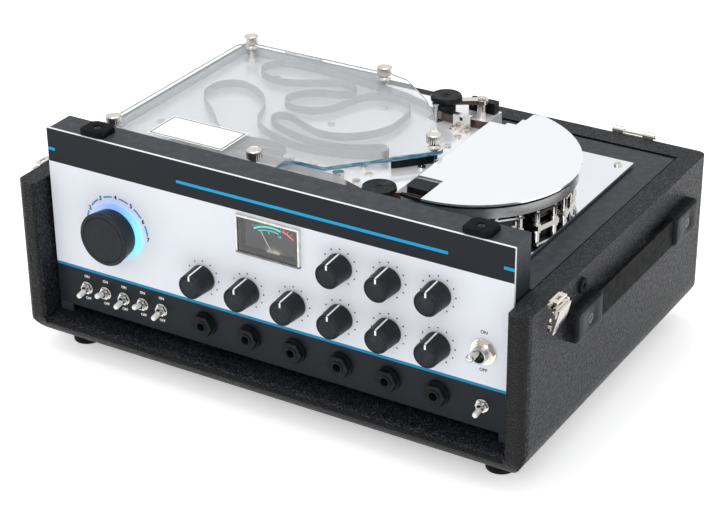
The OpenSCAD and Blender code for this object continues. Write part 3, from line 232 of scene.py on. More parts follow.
def plastic(name, colour, lo, hi, grain=1400.0, bump=0.08, spread=0.12, edge_lift=0.0, **sockets):
    """A moulded or painted surface with roughness from lo to hi, lighter in patches at its sharp edges."""
    m = Mat(name, **sockets)
    shown = m.tinted(colour, spread, 90.0)
    if edge_lift:
        # the sharp edges are made lighter in patches
        patches = m.ramp(m.noise(160.0, 5.0), (0.42, 0.0), (0.66, edge_lift))
        shown = m.mix(m.math("MULTIPLY", m.edge_mask(), patches), shown, brighter(colour, 1.9, 0.03))
    m.set("Base Color", shown)
    m.rough(lo, hi, 120.0)
    m.bump(m.noise(grain, 2.0), bump, 0.2)


# ---------------------------------------------------------------- plain materials
mats = {}
plastic("black_rubber", rgb(18, 19, 21), 0.5, 0.66, 1700.0, 0.2, edge_lift=0.25, Specular_IOR_Level=0.05)
plastic("black_plastic", rgb(22, 23, 26), 0.3, 0.42, edge_lift=0.2, Specular_IOR_Level=0.1)
plastic("knob_plastic", rgb(34, 38, 42), 0.36, 0.46, 1500.0, 0.12, 0.06, edge_lift=0.35, Specular_IOR_Level=0.13)
plastic("gloss_black", rgb(24, 26, 29), 0.26, 0.36, 700.0, 0.05, edge_lift=0.6, Specular_IOR_Level=0.06)
plastic("black_paint", rgb(54, 57, 62), 0.36, 0.42, 2600.0, 0.1, 0.02, edge_lift=0.25, Specular_IOR_Level=0.12)
plastic("white_plastic", rgb(238, 237, 233), 0.16, 0.26, 900.0, 0.03, 0.02)
plastic("white_paint", rgb(248, 249, 251), 0.4, 0.5, 1500.0, 0.04, 0.01)
plastic("print_white", rgb(240, 241, 243), 0.42, 0.52, 1500.0, 0.04, 0.02)
plastic("print_black", rgb(16, 17, 20), 0.42, 0.52, 1500.0, 0.04, 0.06, Specular_IOR_Level=0.2)
plastic("print_cyan", rgb(40, 138, 190), 0.42, 0.52, 1500.0, 0.04, 0.05)
plastic("card", rgb(246, 246, 244), 0.5, 0.6, 1200.0, 0.05, 0.015)
plastic("head_metal", rgb(52, 53, 57), 0.26, 0.4, Metallic=0.6)
# prints on the meter's dial, which glow a little
for name, lit, power in (("dial_cyan", rgb(60, 236, 228), 0.55), ("dial_red", rgb(244, 96, 84), 0.5),
                         ("dial_cream", rgb(236, 226, 204), 0.25)):
    plastic(name, lit, 0.4, 0.5, 1500.0, 0.04, 0.05, Emission_Color=lit, Emission_Strength=power)

metal("nickel", rgb(222, 218, 212), 0.08, 0.2, bump=0.03)
metal("plain_steel", rgb(176, 178, 181), 0.28, 0.42, (60.0, 1400.0, 1400.0))
metal("satin_steel", rgb(206, 206, 206), 0.24, 0.4, (200.0, 200.0, 6000.0), bump=0.1)
metal("polished_steel", rgb(240, 243, 248), 0.02, 0.07, spread=0.012, bump=0.006)
metal("tray_metal", rgb(250, 251, 253), 0.1, 0.22, (30.0, 500.0, 500.0), 0.02, 0.02, metallic=0.45)
metal("cover_metal", rgb(247, 249, 252), 0.05, 0.12, spread=0.008, bump=0.006, metallic=0.8)
metal("brass", rgb(206, 176, 108), 0.2, 0.34, bump=0.05)


# ---------------------------------------------------------------- materials of their own
def vinyl():
    """Pebbled charcoal covering, with painted glints on its pebble tips and painted shade in the valleys
    between them.
    """
    pebbles = 780.0
    m = Mat("vinyl", Specular_IOR_Level=0.26)
    wander = m.node("ShaderNodeTexNoise", {"Vector": m.pos, "Scale": 420.0, "Detail": 1.0}).outputs["Color"]
    nudge = m.node("ShaderNodeVectorMath", {0: wander, "Scale": 0.0016}, operation="SCALE").outputs[0]
    moved = m.node("ShaderNodeVectorMath", {0: m.pos, 1: nudge}, operation="ADD").outputs[0]
    tips = m.ramp(m.cells(pebbles, "SMOOTH_F1", vector=moved), (0.08, 1.0), (0.6, 0.0))
    # painted highlight: random pebble tips are made up to seven and a half times lighter, as glints
    painted_glint = m.ramp(m.cells(pebbles, "F1", "Color", moved), (0.45, 0.0), (0.95, 1.0))
    charcoal = m.mix(m.ramp(m.noise(14.0, 4.0), (0.35, 0.0), (0.7, 1.0)), rgb(29, 31, 34), rgb(33, 35, 39))
    # painted shade: the valleys between the pebbles are darkened to a third
    painted_valley_shade = m.mix(1.0, charcoal, (0.3, 0.3, 0.31, 1), "MULTIPLY")
    painted_tip_glint = m.mix(1.0, charcoal, m.mix(painted_glint, (1.0, 1.0, 1.04, 1), (7.5, 7.5, 7.9, 1)), "MULTIPLY")
    colour = m.mix(tips, painted_valley_shade, painted_tip_glint)
    # painted shade: the faces turned to the front are darkened to about a sixth of their colour
    painted_front_shade = m.math("LESS_THAN", m.facing(1), -0.6)
    m.set("Base Color", m.mix(painted_front_shade, colour, m.mix(1.0, colour, (0.15, 0.15, 0.16, 1), "MULTIPLY")))
    m.set("Roughness", m.ramp(m.noise(300.0, 3.0), (0.3, 0.34), (0.7, 0.5)))
    m.bump(tips, 1.0, 0.8)


def panel_paint():
    """Printed front panel: dark strips, white field, teal and cyan lines, and bare cut edges."""
    field_low, field_high = 69.9, 152.3
    teal_low = 67.6
    line_low, line_high = 161.05, 163.35
    line_runs = ((-200, -184.5), (-76.7, 141.6), (182.9, 200))
    spill_to = 31.0
    m = Mat("panel_paint", Specular_IOR_Level=0.12)
    x, _, z = m.xyz(m.pos)
    white = m.tinted(rgb(223, 227, 233), 0.015, 18.0)
    dark = m.mix(m.noise(30.0, 4.0), rgb(29, 33, 38), rgb(34, 38, 43))
    cyan = m.mix(m.noise(40.0, 2.0), rgb(22, 150, 200), rgb(28, 160, 210))
    teal = m.mix(m.noise(40.0, 2.0), rgb(20, 126, 168), rgb(28, 140, 182))
    colour = m.mix(m.between(z, field_low, field_high), dark, white)
    colour = m.mix(m.between(z, teal_low, field_low), colour, teal)
    on_run = 0.0
    for start, end in line_runs:
        on_run = m.math("MAXIMUM", on_run, m.between(x, start, end))
    colour = m.mix(m.math("MULTIPLY", on_run, m.between(z, line_low, line_high)), colour, cyan)
    cut_edge = m.math("LESS_THAN", m.math("ABSOLUTE", m.facing(1)), 0.5)
    colour = m.mix(cut_edge, colour, rgb(236, 238, 240))
    # light of the mode ring on the paint round it, thrown mostly up and to the right
    right, up = m.offset(MODE_X, MODE_Z)
    spill = m.ramp(m.remap(m.length(right, up), RING_FROM, spill_to),
                   (0.0, 0.8), (0.2, 0.5), (0.42, 0.2), (0.7, 0.06), (1.0, 0.0))
    spill = m.math("MULTIPLY", spill, m.remap(up, RING_DARK, RING_FULL, 0.15, 1.0))
    tilt = m.remap(m.math("SUBTRACT", right, up), -22.0, 22.0)
    thrown = m.mix(tilt, rgb(120, 150, 246), rgb(90, 210, 242))
    m.set("Base Color", m.mix(m.math("MULTIPLY", spill, 0.5), colour, thrown))
    m.set("Emission Color", m.mix(tilt, rgb(70, 112, 255), rgb(60, 214, 255)))
    m.set("Emission Strength", m.math("MULTIPLY", spill, 0.6))
    m.rough(0.3, 0.42, 60.0)
    m.bump(m.noise(2200.0, 2.0), 0.05, 0.1)


def screw_steel():
    """Zinc screws, blackened on the handle and the bumpers."""
    handle_screws_x, bumper_screws_z = 214.2, 170.0
    m = metal("screw_steel", rgb(196, 192, 186), 0.2, 0.34, bump=0.06)
    x, _, z = m.xyz(m.pos)
    blackened = m.math("MAXIMUM", m.above(x, handle_screws_x), m.above(z, bumper_screws_z))
    zinc = m.shader.inputs["Base Color"].links[0].from_socket
    m.set("Base Color", m.mix(blackened, zinc, rgb(30, 31, 33)))
    m.set("Metallic", m.math("SUBTRACT", 1.0, m.math("MULTIPLY", blackened, 0.7)))


def copper_tape():
    """Wound copper of the transformer."""
    m = Mat("copper_tape", Metallic=0.7)
    turns = m.scaled(60, 60, 900)
    m.set("Base Color", m.mix(m.noise(1.0, 2.0, turns), rgb(150, 92, 48), rgb(204, 142, 84)))
    m.rough(0.25, 0.4, 90.0)
    m.bump(m.noise(1.0, 1.0, turns), 0.3, 0.3)


def board_green():
    """Circuit board with its tracks."""
    m = Mat("board_green", Specular_IOR_Level=0.5)
    tracks = m.ramp(m.cells(140.0, "DISTANCE_TO_EDGE"), (0.03, 1.0), (0.05, 0.0))
    m.set("Base Color", m.mix(tracks, m.tinted(rgb(24, 84, 54), 0.1, 50.0), rgb(52, 122, 72)))
    m.rough(0.24, 0.38, 80.0)
    m.bump(tracks, 0.3, 0.1)


def ring_light():
    """Lit ring behind the mode knob, bluer at the top and left, and dim at its foot."""
    ring_to = 23.5
    m = Mat("ring_light")
    x, _, z = m.xyz(m.pos)
    # x less z grows from the top left of the ring to its bottom right
    across = m.remap(m.math("SUBTRACT", x, z), -262.0, -212.0)
    tint = m.mix(m.math("MULTIPLY", m.noise(60.0, 2.0), 0.3), across, grey(0.5))
    right, up = m.offset(MODE_X, MODE_Z)
    near = m.remap(m.length(right, up), RING_FROM, ring_to, 1.0, 0.35)
    lit = m.math("MULTIPLY", near, m.remap(up, RING_DARK, RING_FULL, 0.2, 1.0))
    m.set("Base Color", m.mix(tint, rgb(186, 206, 246), rgb(176, 232, 244)))
    m.set("Emission Color", m.mix(tint, rgb(84, 128, 255), rgb(70, 230, 255)))
    m.set("Emission Strength", m.math("MULTIPLY", lit, m.mix(tint, grey(0.8), grey(1.25))))
    m.rough(0.2, 0.32, 100.0)
    m.bump(m.noise(700.0), 0.04, 0.1)


def clear_acrylic():
    """Clear cover: clear flat faces and pale cut edges, blue-green where one runs along the heads."""
    heads_from_x, heads_edge_y = -30.0, 0.5
    m = Mat("clear_acrylic", Transmission_Weight=1.0, IOR=1.3)
    x, y, _ = m.xyz(m.pos)
    flat = m.math("GREATER_THAN", m.math("ABSOLUTE", m.facing(2)), 0.5)
    by_heads = m.math("MULTIPLY", m.above(x, heads_from_x), m.below(y, heads_edge_y))
    streaks = m.noise(1.0, 4.0, m.scaled(120, 120, 900))
    blue = m.ramp(streaks, (0.35, rgb(58, 116, 146)), (0.5, rgb(104, 164, 196)), (0.66, rgb(186, 220, 236)))
    cut_edge = m.mix(by_heads, rgb(222, 226, 230), blue)
    m.set("Base Color", m.mix(flat, cut_edge, m.tinted(rgb(250, 252, 253), 0.01, 14.0)))
    m.set("Transmission Weight", m.math("ADD", 0.3, m.math("MULTIPLY", flat, 0.62)))
    polish = m.ramp(m.noise(24.0, 5.0), (0.45, 0.01), (0.75, 0.05))
    m.set("Roughness", m.mix(flat, grey(0.3), polish))
    m.bump(m.noise(300.0, 3.0), 0.01, 0.1)


def meter_window():
    """Meter window: clear in the middle, with its polished edges painted bright as their highlight, and a
    darker foot.
    """
    half_wide, half_high, foot_drop = 24.9, 13.5, 13.3
    m = Mat("meter_window", IOR=1.49)
    x, _, z = m.xyz(m.pos)
    middle = m.math("MULTIPLY", m.between(x, METER_X - half_wide, METER_X + half_wide),
                    m.between(z, METER_Z - half_high, METER_Z + half_high))
    rim = m.math("SUBTRACT", 1.0, middle)
    foot = m.below(z, METER_Z - foot_drop)
    # painted highlight: the edges round the clear middle are painted near white, with specks
    painted_rim_highlight, dull = m.tinted(rgb(226, 226, 220), 0.2, 260.0), m.tinted(rgb(112, 110, 106), 0.6, 200.0)
    m.set("Base Color", m.mix(rim, rgb(244, 246, 247), m.mix(foot, painted_rim_highlight, dull)))
    m.set("Transmission Weight", m.math("SUBTRACT", 1.0, m.math("MULTIPLY", rim, 0.75)))
    m.set("Metallic", m.math("MULTIPLY", rim, 0.6))
    m.rough(0.01, 0.04, 80.0)
    m.bump(m.noise(600.0), 0.01, 0.1)


def meter_dial():
    """Meter dial: dark, lit warm from below."""
    lamp_x, lamp_z = 1.4, 120.5
    m = Mat("meter_dial", Specular_IOR_Level=0.2)
    right, up = m.offset(lamp_x, lamp_z)
    glow = m.remap(m.length(m.math("MULTIPLY", right, 0.75), up), 3.0, 8.5, 0.8, 0.0)
    m.set("Base Color", m.mix(m.noise(160.0, 3.0), rgb(44, 45, 47), rgb(54, 55, 57)))
    m.set("Emission Color", m.mix(glow, rgb(74, 72, 72), rgb(214, 196, 168)))
    m.set("Emission Strength", m.mix(glow, grey(0.35), grey(0.9)))
    m.rough(0.5, 0.6, 80.0)
    m.bump(m.noise(1800.0), 0.06, 0.1)


def tape_film():
    """Thin brown tape, painted pale under the clear cover as a painted reflection of the cover's milky
    sheen, and brown past the cover's edge.
    """
    cover_ends, brown_from = 27.0, 30.0
    m = Mat("tape_film", Specular_IOR_Level=0.6)
    band = m.noise(1.0, 2.0, m.scaled(30, 30, 700))
    bare = m.remap(m.xyz(m.pos)[0], cover_ends, brown_from)
    # painted reflection: under the cover the brown tape is painted pale grey
    pale = m.mix(band, rgb(200, 197, 200), rgb(220, 218, 222))
    brown = m.mix(band, rgb(62, 44, 38), rgb(92, 68, 58))
    m.set("Base Color", m.mix(bare, pale, brown))
    m.set("Alpha", m.math("ADD", 0.68, m.math("MULTIPLY", bare, 0.3)))
    m.rough(0.16, 0.26, 60.0)
    m.bump(band, 0.1, 0.1)


for make in (vinyl, panel_paint, screw_steel, copper_tape, board_green, ring_light, clear_acrylic,
             meter_window, meter_dial, tape_film):
    make()


# ---------------------------------------------------------------- finishes and edges of the model's nodes
def soften(node, width):
    """Rounds the sharp edges of a solid a little, as the moulded or folded real one is."""
    bevel = nodes[node].modifiers.new("soft_edges", "BEVEL")
    bevel.width = width * MM
    bevel.segments = 2
    bevel.limit_method = "ANGLE"
    bevel.angle_limit = math.radians(38)
    bevel.harden_normals = True


for part in frame["record"]["subparts"]:
    mesh = nodes[part["node"]].data
    mesh.materials.clear()
    mesh.materials.append(mats[part["material_slot"]])
OWN_FINISH = {"pinch_roller": "gloss_black", "guide_roller": "gloss_black", "meter_window": "meter_window",
              "tape_tray": "tray_metal", "head_cover": "cover_metal", "mode_knob": "knob_plastic"}
OWN_FINISH.update({knob: "knob_plastic" for knob in KNOBS})
for node, finish in OWN_FINISH.items():
    nodes[node].material_slots[0].material = mats[finish]
for node, width in (("chassis_deck", 0.35), ("mode_knob", 0.4), ("latch_lever_left", 0.3),
                    ("latch_lever_right", 0.3), ("jack_nuts", 0.3), ("handle_strap", 0.5)):
    soften(node, width)


# ---------------------------------------------------------------- outlines in the plane
def spot(radius, degrees):
    """The point at a radius, with the angle clockwise from upright."""
    angle = math.radians(degrees)
    return radius * math.sin(angle), radius * math.cos(angle)


def circle(radius, sides):
    angles = [2 * math.pi * k / sides for k in range(sides)]
    return [(radius * math.cos(a), radius * math.sin(a)) for a in angles]


def rectangle(u0, v0, u1, v1):
    return [(u0, v0), (u1, v0), (u1, v1), (u0, v1)]


def divided(points, step=2.0):
    """The closed outline with its long edges divided."""
    full = []
    for a, b in zip(points, points[1:] + points[:1]):
        cuts = max(1, round(math.hypot(b[0] - a[0], b[1] - a[1]) / step))
        full += [(a[0] + (b[0] - a[0]) * k / cuts, a[1] + (b[1] - a[1]) * k / cuts) for k in range(cuts)]
    return full


def rounded_corners(width, height, radius):
    """A rectangle round the origin with round corners."""
    points = []
    for side_u, side_v, start in ((1, 1, 0), (-1, 1, 90), (-1, -1, 180), (1, -1, 270)):
        mid_u, mid_v = side_u * (width / 2 - radius), side_v * (height / 2 - radius)
        for k in range(5):
            angle = math.radians(start + 22.5 * k)
            points.append((mid_u + radius * math.cos(angle), mid_v + radius * math.sin(angle)))
    return divided(points)


def cut_corners(width, height, cut):
    """A rectangle round the origin with its corners cut off."""
    u, v = width / 2, height / 2
    return divided([(-u, cut - v), (cut - u, -v), (u - cut, -v), (u, cut - v),
                    (u, v - cut), (u - cut, v), (cut - u, v), (-u, v - cut)])


# ---------------------------------------------------------------- where a drawing in (u, v, w) lands
def on_front(y, x=0.0, z=0.0):
    """u to the right, v up and w out of a front face."""
    return lambda u, v, w: Vector((x + u, y - w, z + v))


def on_side(x, y, z):
    """u to the back, v up and w to the right."""
    return lambda u, v, w: Vector((x + w, y + u, z + v))


def on_top(z, x=0.0, y=0.0):
    """u to the right, v to the back and w up."""
    return lambda u, v, w: Vector((x + u, y + v, z + w))


def on_knob(x, y, z, width, turn=0.0):
    """u back from the knob's front at y, v outward along the pointer and w across its width."""
    c, s = math.cos(turn), math.sin(turn)
    return lambda u, v, w: Vector((x + v * s + (w - width / 2) * c, y + u, z + v * c - (w - width / 2) * s))


# ---------------------------------------------------------------- mesh builders
INK = 0.06      # how far print stands proud of its face


def piece(name, bm, mat, body="unit", smooth=None):
    """A closed mesh, given in millimetres, as a piece of the object."""
    bmesh.ops.recalc_face_normals(bm, faces=bm.faces)
    me = bpy.data.meshes.new(name)
    bm.to_mesh(me)
    bm.free()
    me.transform(Matrix.Scale(MM, 4))
    o = bpy.data.objects.new(name, me)
    scene.collection.objects.link(o)
    o.data.materials.append(mats[mat])
    if smooth:
        for face in me.polygons:
            face.use_smooth = True
        me.set_sharp_from_angle(angle=math.radians(smooth))
    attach(o, body)
    return o


def join_rings(bm, rings):
    """A solid through rings of points, with a face over each end."""
    rings = [[bm.verts.new(point) for point in ring] for ring in rings]
    n = len(rings[0])
    for near, far in zip(rings, rings[1:]):
        for k in range(n):
            bm.faces.new((near[k], near[(k + 1) % n], far[(k + 1) % n], far[k]))
    bm.faces.new(list(reversed(rings[0])))
    bm.faces.new(rings[-1])


def add_prism(bm, outline, place, depth):
    """The outline swept by the depth; place maps (u, v, w) to a point."""
    join_rings(bm, [[place(u, v, w) for u, v in outline] for w in (0, depth)])


def add_arc(bm, place, inner, outer, start, end, steps):
    """A stretch of a printed ring; the angles are clockwise from upright, in degrees."""
    angles = [start + (end - start) * k / steps for k in range(steps + 1)]
    for a, b in zip(angles, angles[1:]):
        add_prism(bm, [spot(inner, a), spot(outer, a), spot(outer, b), spot(inner, b)], place, INK)


def add_text(bm, text, size, place, weight=0.022):
    """Centred printed lettering, for plain numbers and ON and OFF."""
    curve = bpy.data.curves.new("lettering", "FONT")
    curve.body = text
    curve.size = size
    curve.align_x = "CENTER"
    curve.align_y = "CENTER"
    curve.extrude = 0.5
    curve.offset = weight * size
    curve.resolution_u = 3
    o = bpy.data.objects.new("lettering", curve)
    scene.collection.objects.link(o)
    me = o.to_mesh(depsgraph=bpy.context.evaluated_depsgraph_get())
    verts = [bm.verts.new(place(v.co.x, v.co.y, (v.co.z + 0.5) * INK)) for v in me.vertices]
    for face in me.polygons:
        bm.faces.new([verts[i] for i in face.vertices])
    o.to_mesh_clear()
    bpy.data.objects.remove(o)
    bpy.data.curves.remove(curve)


def turned_ring(x, y, z, radius, sides, knurl=0.0):
    """Points round an upright axis; a knurl sets them in and out by turns."""
    ring = []
    for k in range(sides):
        angle = 2 * math.pi * k / sides
        reach = radius + (knurl if k % 2 else -knurl)
        ring.append((x + reach * math.cos(angle), y + reach * math.sin(angle), z))
    return ring


def add_turned(bm, x, y, foot, profile, sides=28):
    """A turned solid; each ring of the profile is (radius, height over its foot) and any knurl."""
    rings = []
    for radius, height, *knurl in profile:
        rings.append(turned_ring(x, y, foot + height, radius, sides, *knurl))
    join_rings(bm, rings)


def add_moulded(bm, outline, depth, place, round_by, hole, hole_deep):
    """A cap of the given outline, rounded at its free edge, with a sunk round hole at its middle."""
    far_u, far_v = max(p[0] for p in outline), max(p[1] for p in outline)
    rings = [[place(u, v, 0.0) for u, v in outline]]
    steps = 5
    for k in range(steps + 1):
        angle = math.pi / 2 * k / steps
        inset = round_by * (1 - math.cos(angle))
        out = depth - round_by * (1 - math.sin(angle))
        rings.append([place(u * (1 - inset / far_u), v * (1 - inset / far_v), out) for u, v in outline])
    # the hole has a chamfered lip and narrows a little towards its bottom
    lip, lip_deep, bottom = 1.12, 0.25, 0.96
    angles = [math.atan2(v, u) for u, v in outline]
    for radius, out in ((hole * lip, depth), (hole, depth - lip_deep), (hole * bottom, depth - hole_deep)):
        rings.append([place(radius * math.cos(a), radius * math.sin(a), out) for a in angles])
    join_rings(bm, rings)


# ---------------------------------------------------------------- printing on the panel
black, pale, blue = bmesh.new(), bmesh.new(), bmesh.new()
DOT_RING, DOT_RADIUS, DOT_SIDES = 13.4, 0.62, 14
for knob in KNOBS:
    knob_x, knob_z = mid_xz(knob)
    for k in range(11):
        right, up = spot(DOT_RING, -150 + 30 * k)
        place = on_front(PANEL_FACE, knob_x + right, knob_z + up)
        add_prism(black, circle(DOT_RADIUS, DOT_SIDES), place, INK)

# the mode knob's numbers, 30 degrees apart, and a stroke of a ring between each two
NUMBER_RING, NUMBER_SIZE, NUMBER_GAP = 27.4, 4.7, 6.4
STROKE_INNER, STROKE_OUTER = 26.7, 28.0
DIAL_Z = MODE_Z - 0.8
for k in range(7):
    right, up = spot(NUMBER_RING, -90 + 30 * k)
    place = on_front(PANEL_FACE, MODE_X + right, DIAL_Z + up)
    add_text(black, str(k + 1), NUMBER_SIZE, place, weight=0.036)
for k in range(6):
    start, end = -90 + 30 * k + NUMBER_GAP, -90 + 30 * (k + 1) - NUMBER_GAP
    add_arc(blue, on_front(PANEL_FACE, MODE_X, DIAL_Z), STROKE_INNER, STROKE_OUTER, start, end, 4)

# ON and OFF at the height of each lever's pivot: ink, lever, that height, size, and distance from it
TOGGLE_Z = mid_xz("jack_nuts")[1] + 0.8
POWER_Z = 95.7
switches = [(pale, toggle, TOGGLE_Z, 2.9, 9.2) for toggle in TOGGLES]
switches.append((black, "power_lever", POWER_Z, 3.4, 14.5))
for ink, switch, z, size, away in switches:
    x = mid_xz(switch)[0]
    add_text(ink, "ON", size, on_front(PANEL_FACE, x, z + away))
    add_text(ink, "OFF", size, on_front(PANEL_FACE, x, z - away))
piece("panel_print_black", black, "print_black")
piece("panel_print_white", pale, "print_white")
piece("panel_print_cyan", blue, "print_cyan")

# ---------------------------------------------------------------- pointer inlays
# each strip fills its knob's groove, over the front and down the side, a hair under the surface
TIP_R, FOOT_R, KNOB_LONG = 9.3, 10.3, 16.5
INLAY_START, INLAY_WIDE = TIP_R * 0.55, 1.4
FRONT_SINK, SIDE_SINK, INLAY_DEEP = 0.03, 0.04, 0.33
INLAY = [(INLAY_DEEP, INLAY_START), (FRONT_SINK, INLAY_START), (FRONT_SINK, TIP_R - 0.88),
         (0.93, TIP_R - SIDE_SINK), (KNOB_LONG, FOOT_R - SIDE_SINK), (KNOB_LONG, FOOT_R - INLAY_DEEP),
         (1.0, TIP_R - INLAY_DEEP), (INLAY_DEEP, TIP_R - 1.0)]
for knob in KNOBS:
    knob_x, knob_z = mid_xz(knob)
    bm = bmesh.new()
    add_prism(bm, INLAY, on_knob(knob_x, box_mm(knob)[0][1], knob_z, INLAY_WIDE), INLAY_WIDE)
    piece(knob + "_pointer", bm, "print_white", body=knob)

# short mark on the mode knob's skirt
SKIRT_R, SKIRT_BACK_R, SKIRT_LONG = 20.8, 19.0, 14.0
MARK_FROM, MARK_TO, MARK_WIDE, MARK_SINK, MARK_PROUD = 6.0, 10.5, 2.2, 0.4, 0.3
slope = (SKIRT_BACK_R - SKIRT_R) / SKIRT_LONG
skirt_from, skirt_to = SKIRT_R + slope * MARK_FROM, SKIRT_R + slope * MARK_TO
mark = [(MARK_FROM, skirt_from - MARK_SINK), (MARK_TO, skirt_to - MARK_SINK),
        (MARK_TO, skirt_to + MARK_PROUD), (MARK_FROM, skirt_from + MARK_PROUD)]
bm = bmesh.new()
mark_place = on_knob(MODE_X, box_mm("mode_knob")[0][1], MODE_Z, MARK_WIDE, math.radians(-35))
add_prism(bm, mark, mark_place, MARK_WIDE)
piece("mode_knob_mark", bm, "print_white", body="mode_knob")

# ---------------------------------------------------------------- meter dial
DIAL_FACE = box_mm("meter_case")[0][1] + 4.8
DIAL_HALF_WIDE, DIAL_HALF_HIGH = 22.6, 11.4
SCALE_X, SCALE_Z, SCALE_LIFT = -0.4, 114.0, 0.14
bm = bmesh.new()
dial = rectangle(-DIAL_HALF_WIDE, -DIAL_HALF_HIGH, DIAL_HALF_WIDE, DIAL_HALF_HIGH)
add_prism(bm, dial, on_front(DIAL_FACE - 0.02, METER_X, METER_Z), 0.1)
piece("meter_dial", bm, "meter_dial")

# strokes and ticks round the scale's centre: inner and outer radius, from and to angle, and steps
scale = on_front(DIAL_FACE - SCALE_LIFT, SCALE_X, SCALE_Z)
bm = bmesh.new()
add_arc(bm, scale, 28.2, 29.6, -30.0, 16.0, 18)
add_arc(bm, scale, 26.0, 26.6, -24.0, 14.0, 14)
for k in range(10):
    tick_end = 31.4 if k % 3 else 32.0
    add_arc(bm, scale, 30.3, tick_end, -29.0 + 4.9 * k, -28.4 + 4.9 * k, 1)
for k, number in enumerate(("5", "10")):
    right, up = spot(24.4, -4.5 + 21 * k)
    add_text(bm, number, 2.5, on_front(DIAL_FACE - SCALE_LIFT, SCALE_X + right, SCALE_Z + up))
piece("meter_scale", bm, "dial_cyan")
bm = bmesh.new()
add_arc(bm, scale, 29.2, 30.5, 17.6, 37.5, 8)
for k in range(3):
    add_arc(bm, scale, 30.9, 32.6, 19.6 + 5.6 * k, 20.8 + 5.6 * k, 1)
piece("meter_scale_red", bm, "dial_red")

# cream cover over the needle's pivot, a half oval
DOME_X, DOME_Z, DOME_HALF_WIDE, DOME_HIGH = 1.2, 123.4, 5.4, 2.5
angles = [math.radians(a) for a in range(0, 181, 12)]
dome = [(DOME_HALF_WIDE * math.cos(a), DOME_HIGH * math.sin(a)) for a in angles]
bm = bmesh.new()
add_prism(bm, dome, on_front(DIAL_FACE - 0.2, DOME_X, DOME_Z), 0.9)
piece("meter_pivot_cover", bm, "dial_cream")

# ---------------------------------------------------------------- card on the clear cover
# places on the cover are x, and the distance back from the case's front
bm = bmesh.new()
add_prism(bm, rectangle(-136.6, 64.6, -70.2, 99.2), on_top(COVER_TOP + 0.02, y=FRONT), 0.12)
piece("cover_card", bm, "card")
LEFT, RIGHT, NEAR, FAR, LINE = -135.2, -71.6, 65.9, 97.9, 0.9
bm = bmesh.new()
for stroke in (rectangle(LEFT, NEAR, RIGHT, NEAR + LINE), rectangle(LEFT, FAR - LINE, RIGHT, FAR),
               rectangle(LEFT, NEAR + LINE, LEFT + LINE, FAR - LINE),
               rectangle(RIGHT - LINE, NEAR + LINE, RIGHT, FAR - LINE)):
    add_prism(bm, stroke, on_top(COVER_TOP + 0.15, y=FRONT), 0.04)
piece("cover_card_border", bm, "print_black")

# ---------------------------------------------------------------- knurled thumbscrews
# where each stands, as x and the distance back from the case's front, and its profile from the foot up
KNURL = 0.14
SCREWS = [(-160.5, 240), (-161, 57.5), (-35, 237), (59.5, 145.5), (-38, 58.5)]
STUD = [(3.2, 0.0), (3.2, 1.2), (2.7, 1.7), (2.7, 5.2), (3.2, 5.7), (3.2, 7.0), (2.0, 7.0), (2.0, 10.02)]
WASHER = [(4.7, 10.02), (4.8, 10.3), (4.8, 10.8), (4.4, 11.1)]
NECK = [(3.5, 12.6), (3.4, 13.3), (3.6, 13.5), (5.6, 14.6), (5.85, 14.85)]
HEAD = [(5.85, 15.2, KNURL), (5.85, 20.3, KNURL), (5.75, 20.55), (5.4, 21.0), (4.9, 21.2), (4.6, 21.05)]
bm = bmesh.new()
for x, back in SCREWS:
    add_turned(bm, x, FRONT + back, TRAY_TOP, STUD + WASHER + NECK + HEAD, 60)
knurled = piece("knurled_thumbscrews", bm, "nickel", smooth=24)
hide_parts("cover_thumbscrews")

# ---------------------------------------------------------------- moulded caps and bumpers
# distances back are from the case's front
HANDLE_Z = mid_xz("handle_caps")[1]
CAP_DEEP, CAP_BACKS = 8.6, (78, 243)
bm = bmesh.new()
for back in CAP_BACKS:
    place = on_side(CASE_SIDE, FRONT + back, HANDLE_Z)
    add_moulded(bm, rounded_corners(40, 24, 3.0), CAP_DEEP, place, round_by=2.4, hole=4.3, hole_deep=1.5)
caps = piece("handle_end_caps", bm, "gloss_black", smooth=34)
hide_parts("handle_caps")

# two bumpers on the control box, and a round one on the side over the handle's front cap
BUMPER_DEEP, BUMPER_BACK, BUMPER_XS = 4.4, 28, (-153.0, 160.0)
ROUND_DEEP, ROUND_BACK, ROUND_UP = 2.2, 79, 22.6
bumper_foot = box_mm("rubber_bumpers")[1][2] - BUMPER_DEEP
bm = bmesh.new()
for x in BUMPER_XS:
    place = on_top(bumper_foot, x, FRONT + BUMPER_BACK)
    add_moulded(bm, cut_corners(21.5, 20, 3.6), BUMPER_DEEP, place, round_by=1.5, hole=2.9, hole_deep=2.0)
place = on_side(CASE_SIDE, FRONT + ROUND_BACK, HANDLE_Z + ROUND_UP)
add_moulded(bm, circle(5.6, 30), ROUND_DEEP, place, round_by=0.6, hole=1.9, hole_deep=1.0)
bumpers = piece("moulded_bumpers", bm, "black_rubber", smooth=34)
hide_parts("rubber_bumpers")

# ---------------------------------------------------------------- small fittings on the deck
HUB = [(3.4, -0.9), (3.4, -0.1), (3.1, 0.15), (1.9, 0.2), (1.7, -0.3)]
for roller in ("guide_roller", "pinch_roller"):
    lo, hi = box_mm(roller)
    bm = bmesh.new()
    add_turned(bm, (lo[0] + hi[0]) / 2, (lo[1] + hi[1]) / 2, hi[2], HUB)
    piece(roller + "_hub", bm, "black_plastic", body=roller, smooth=30)

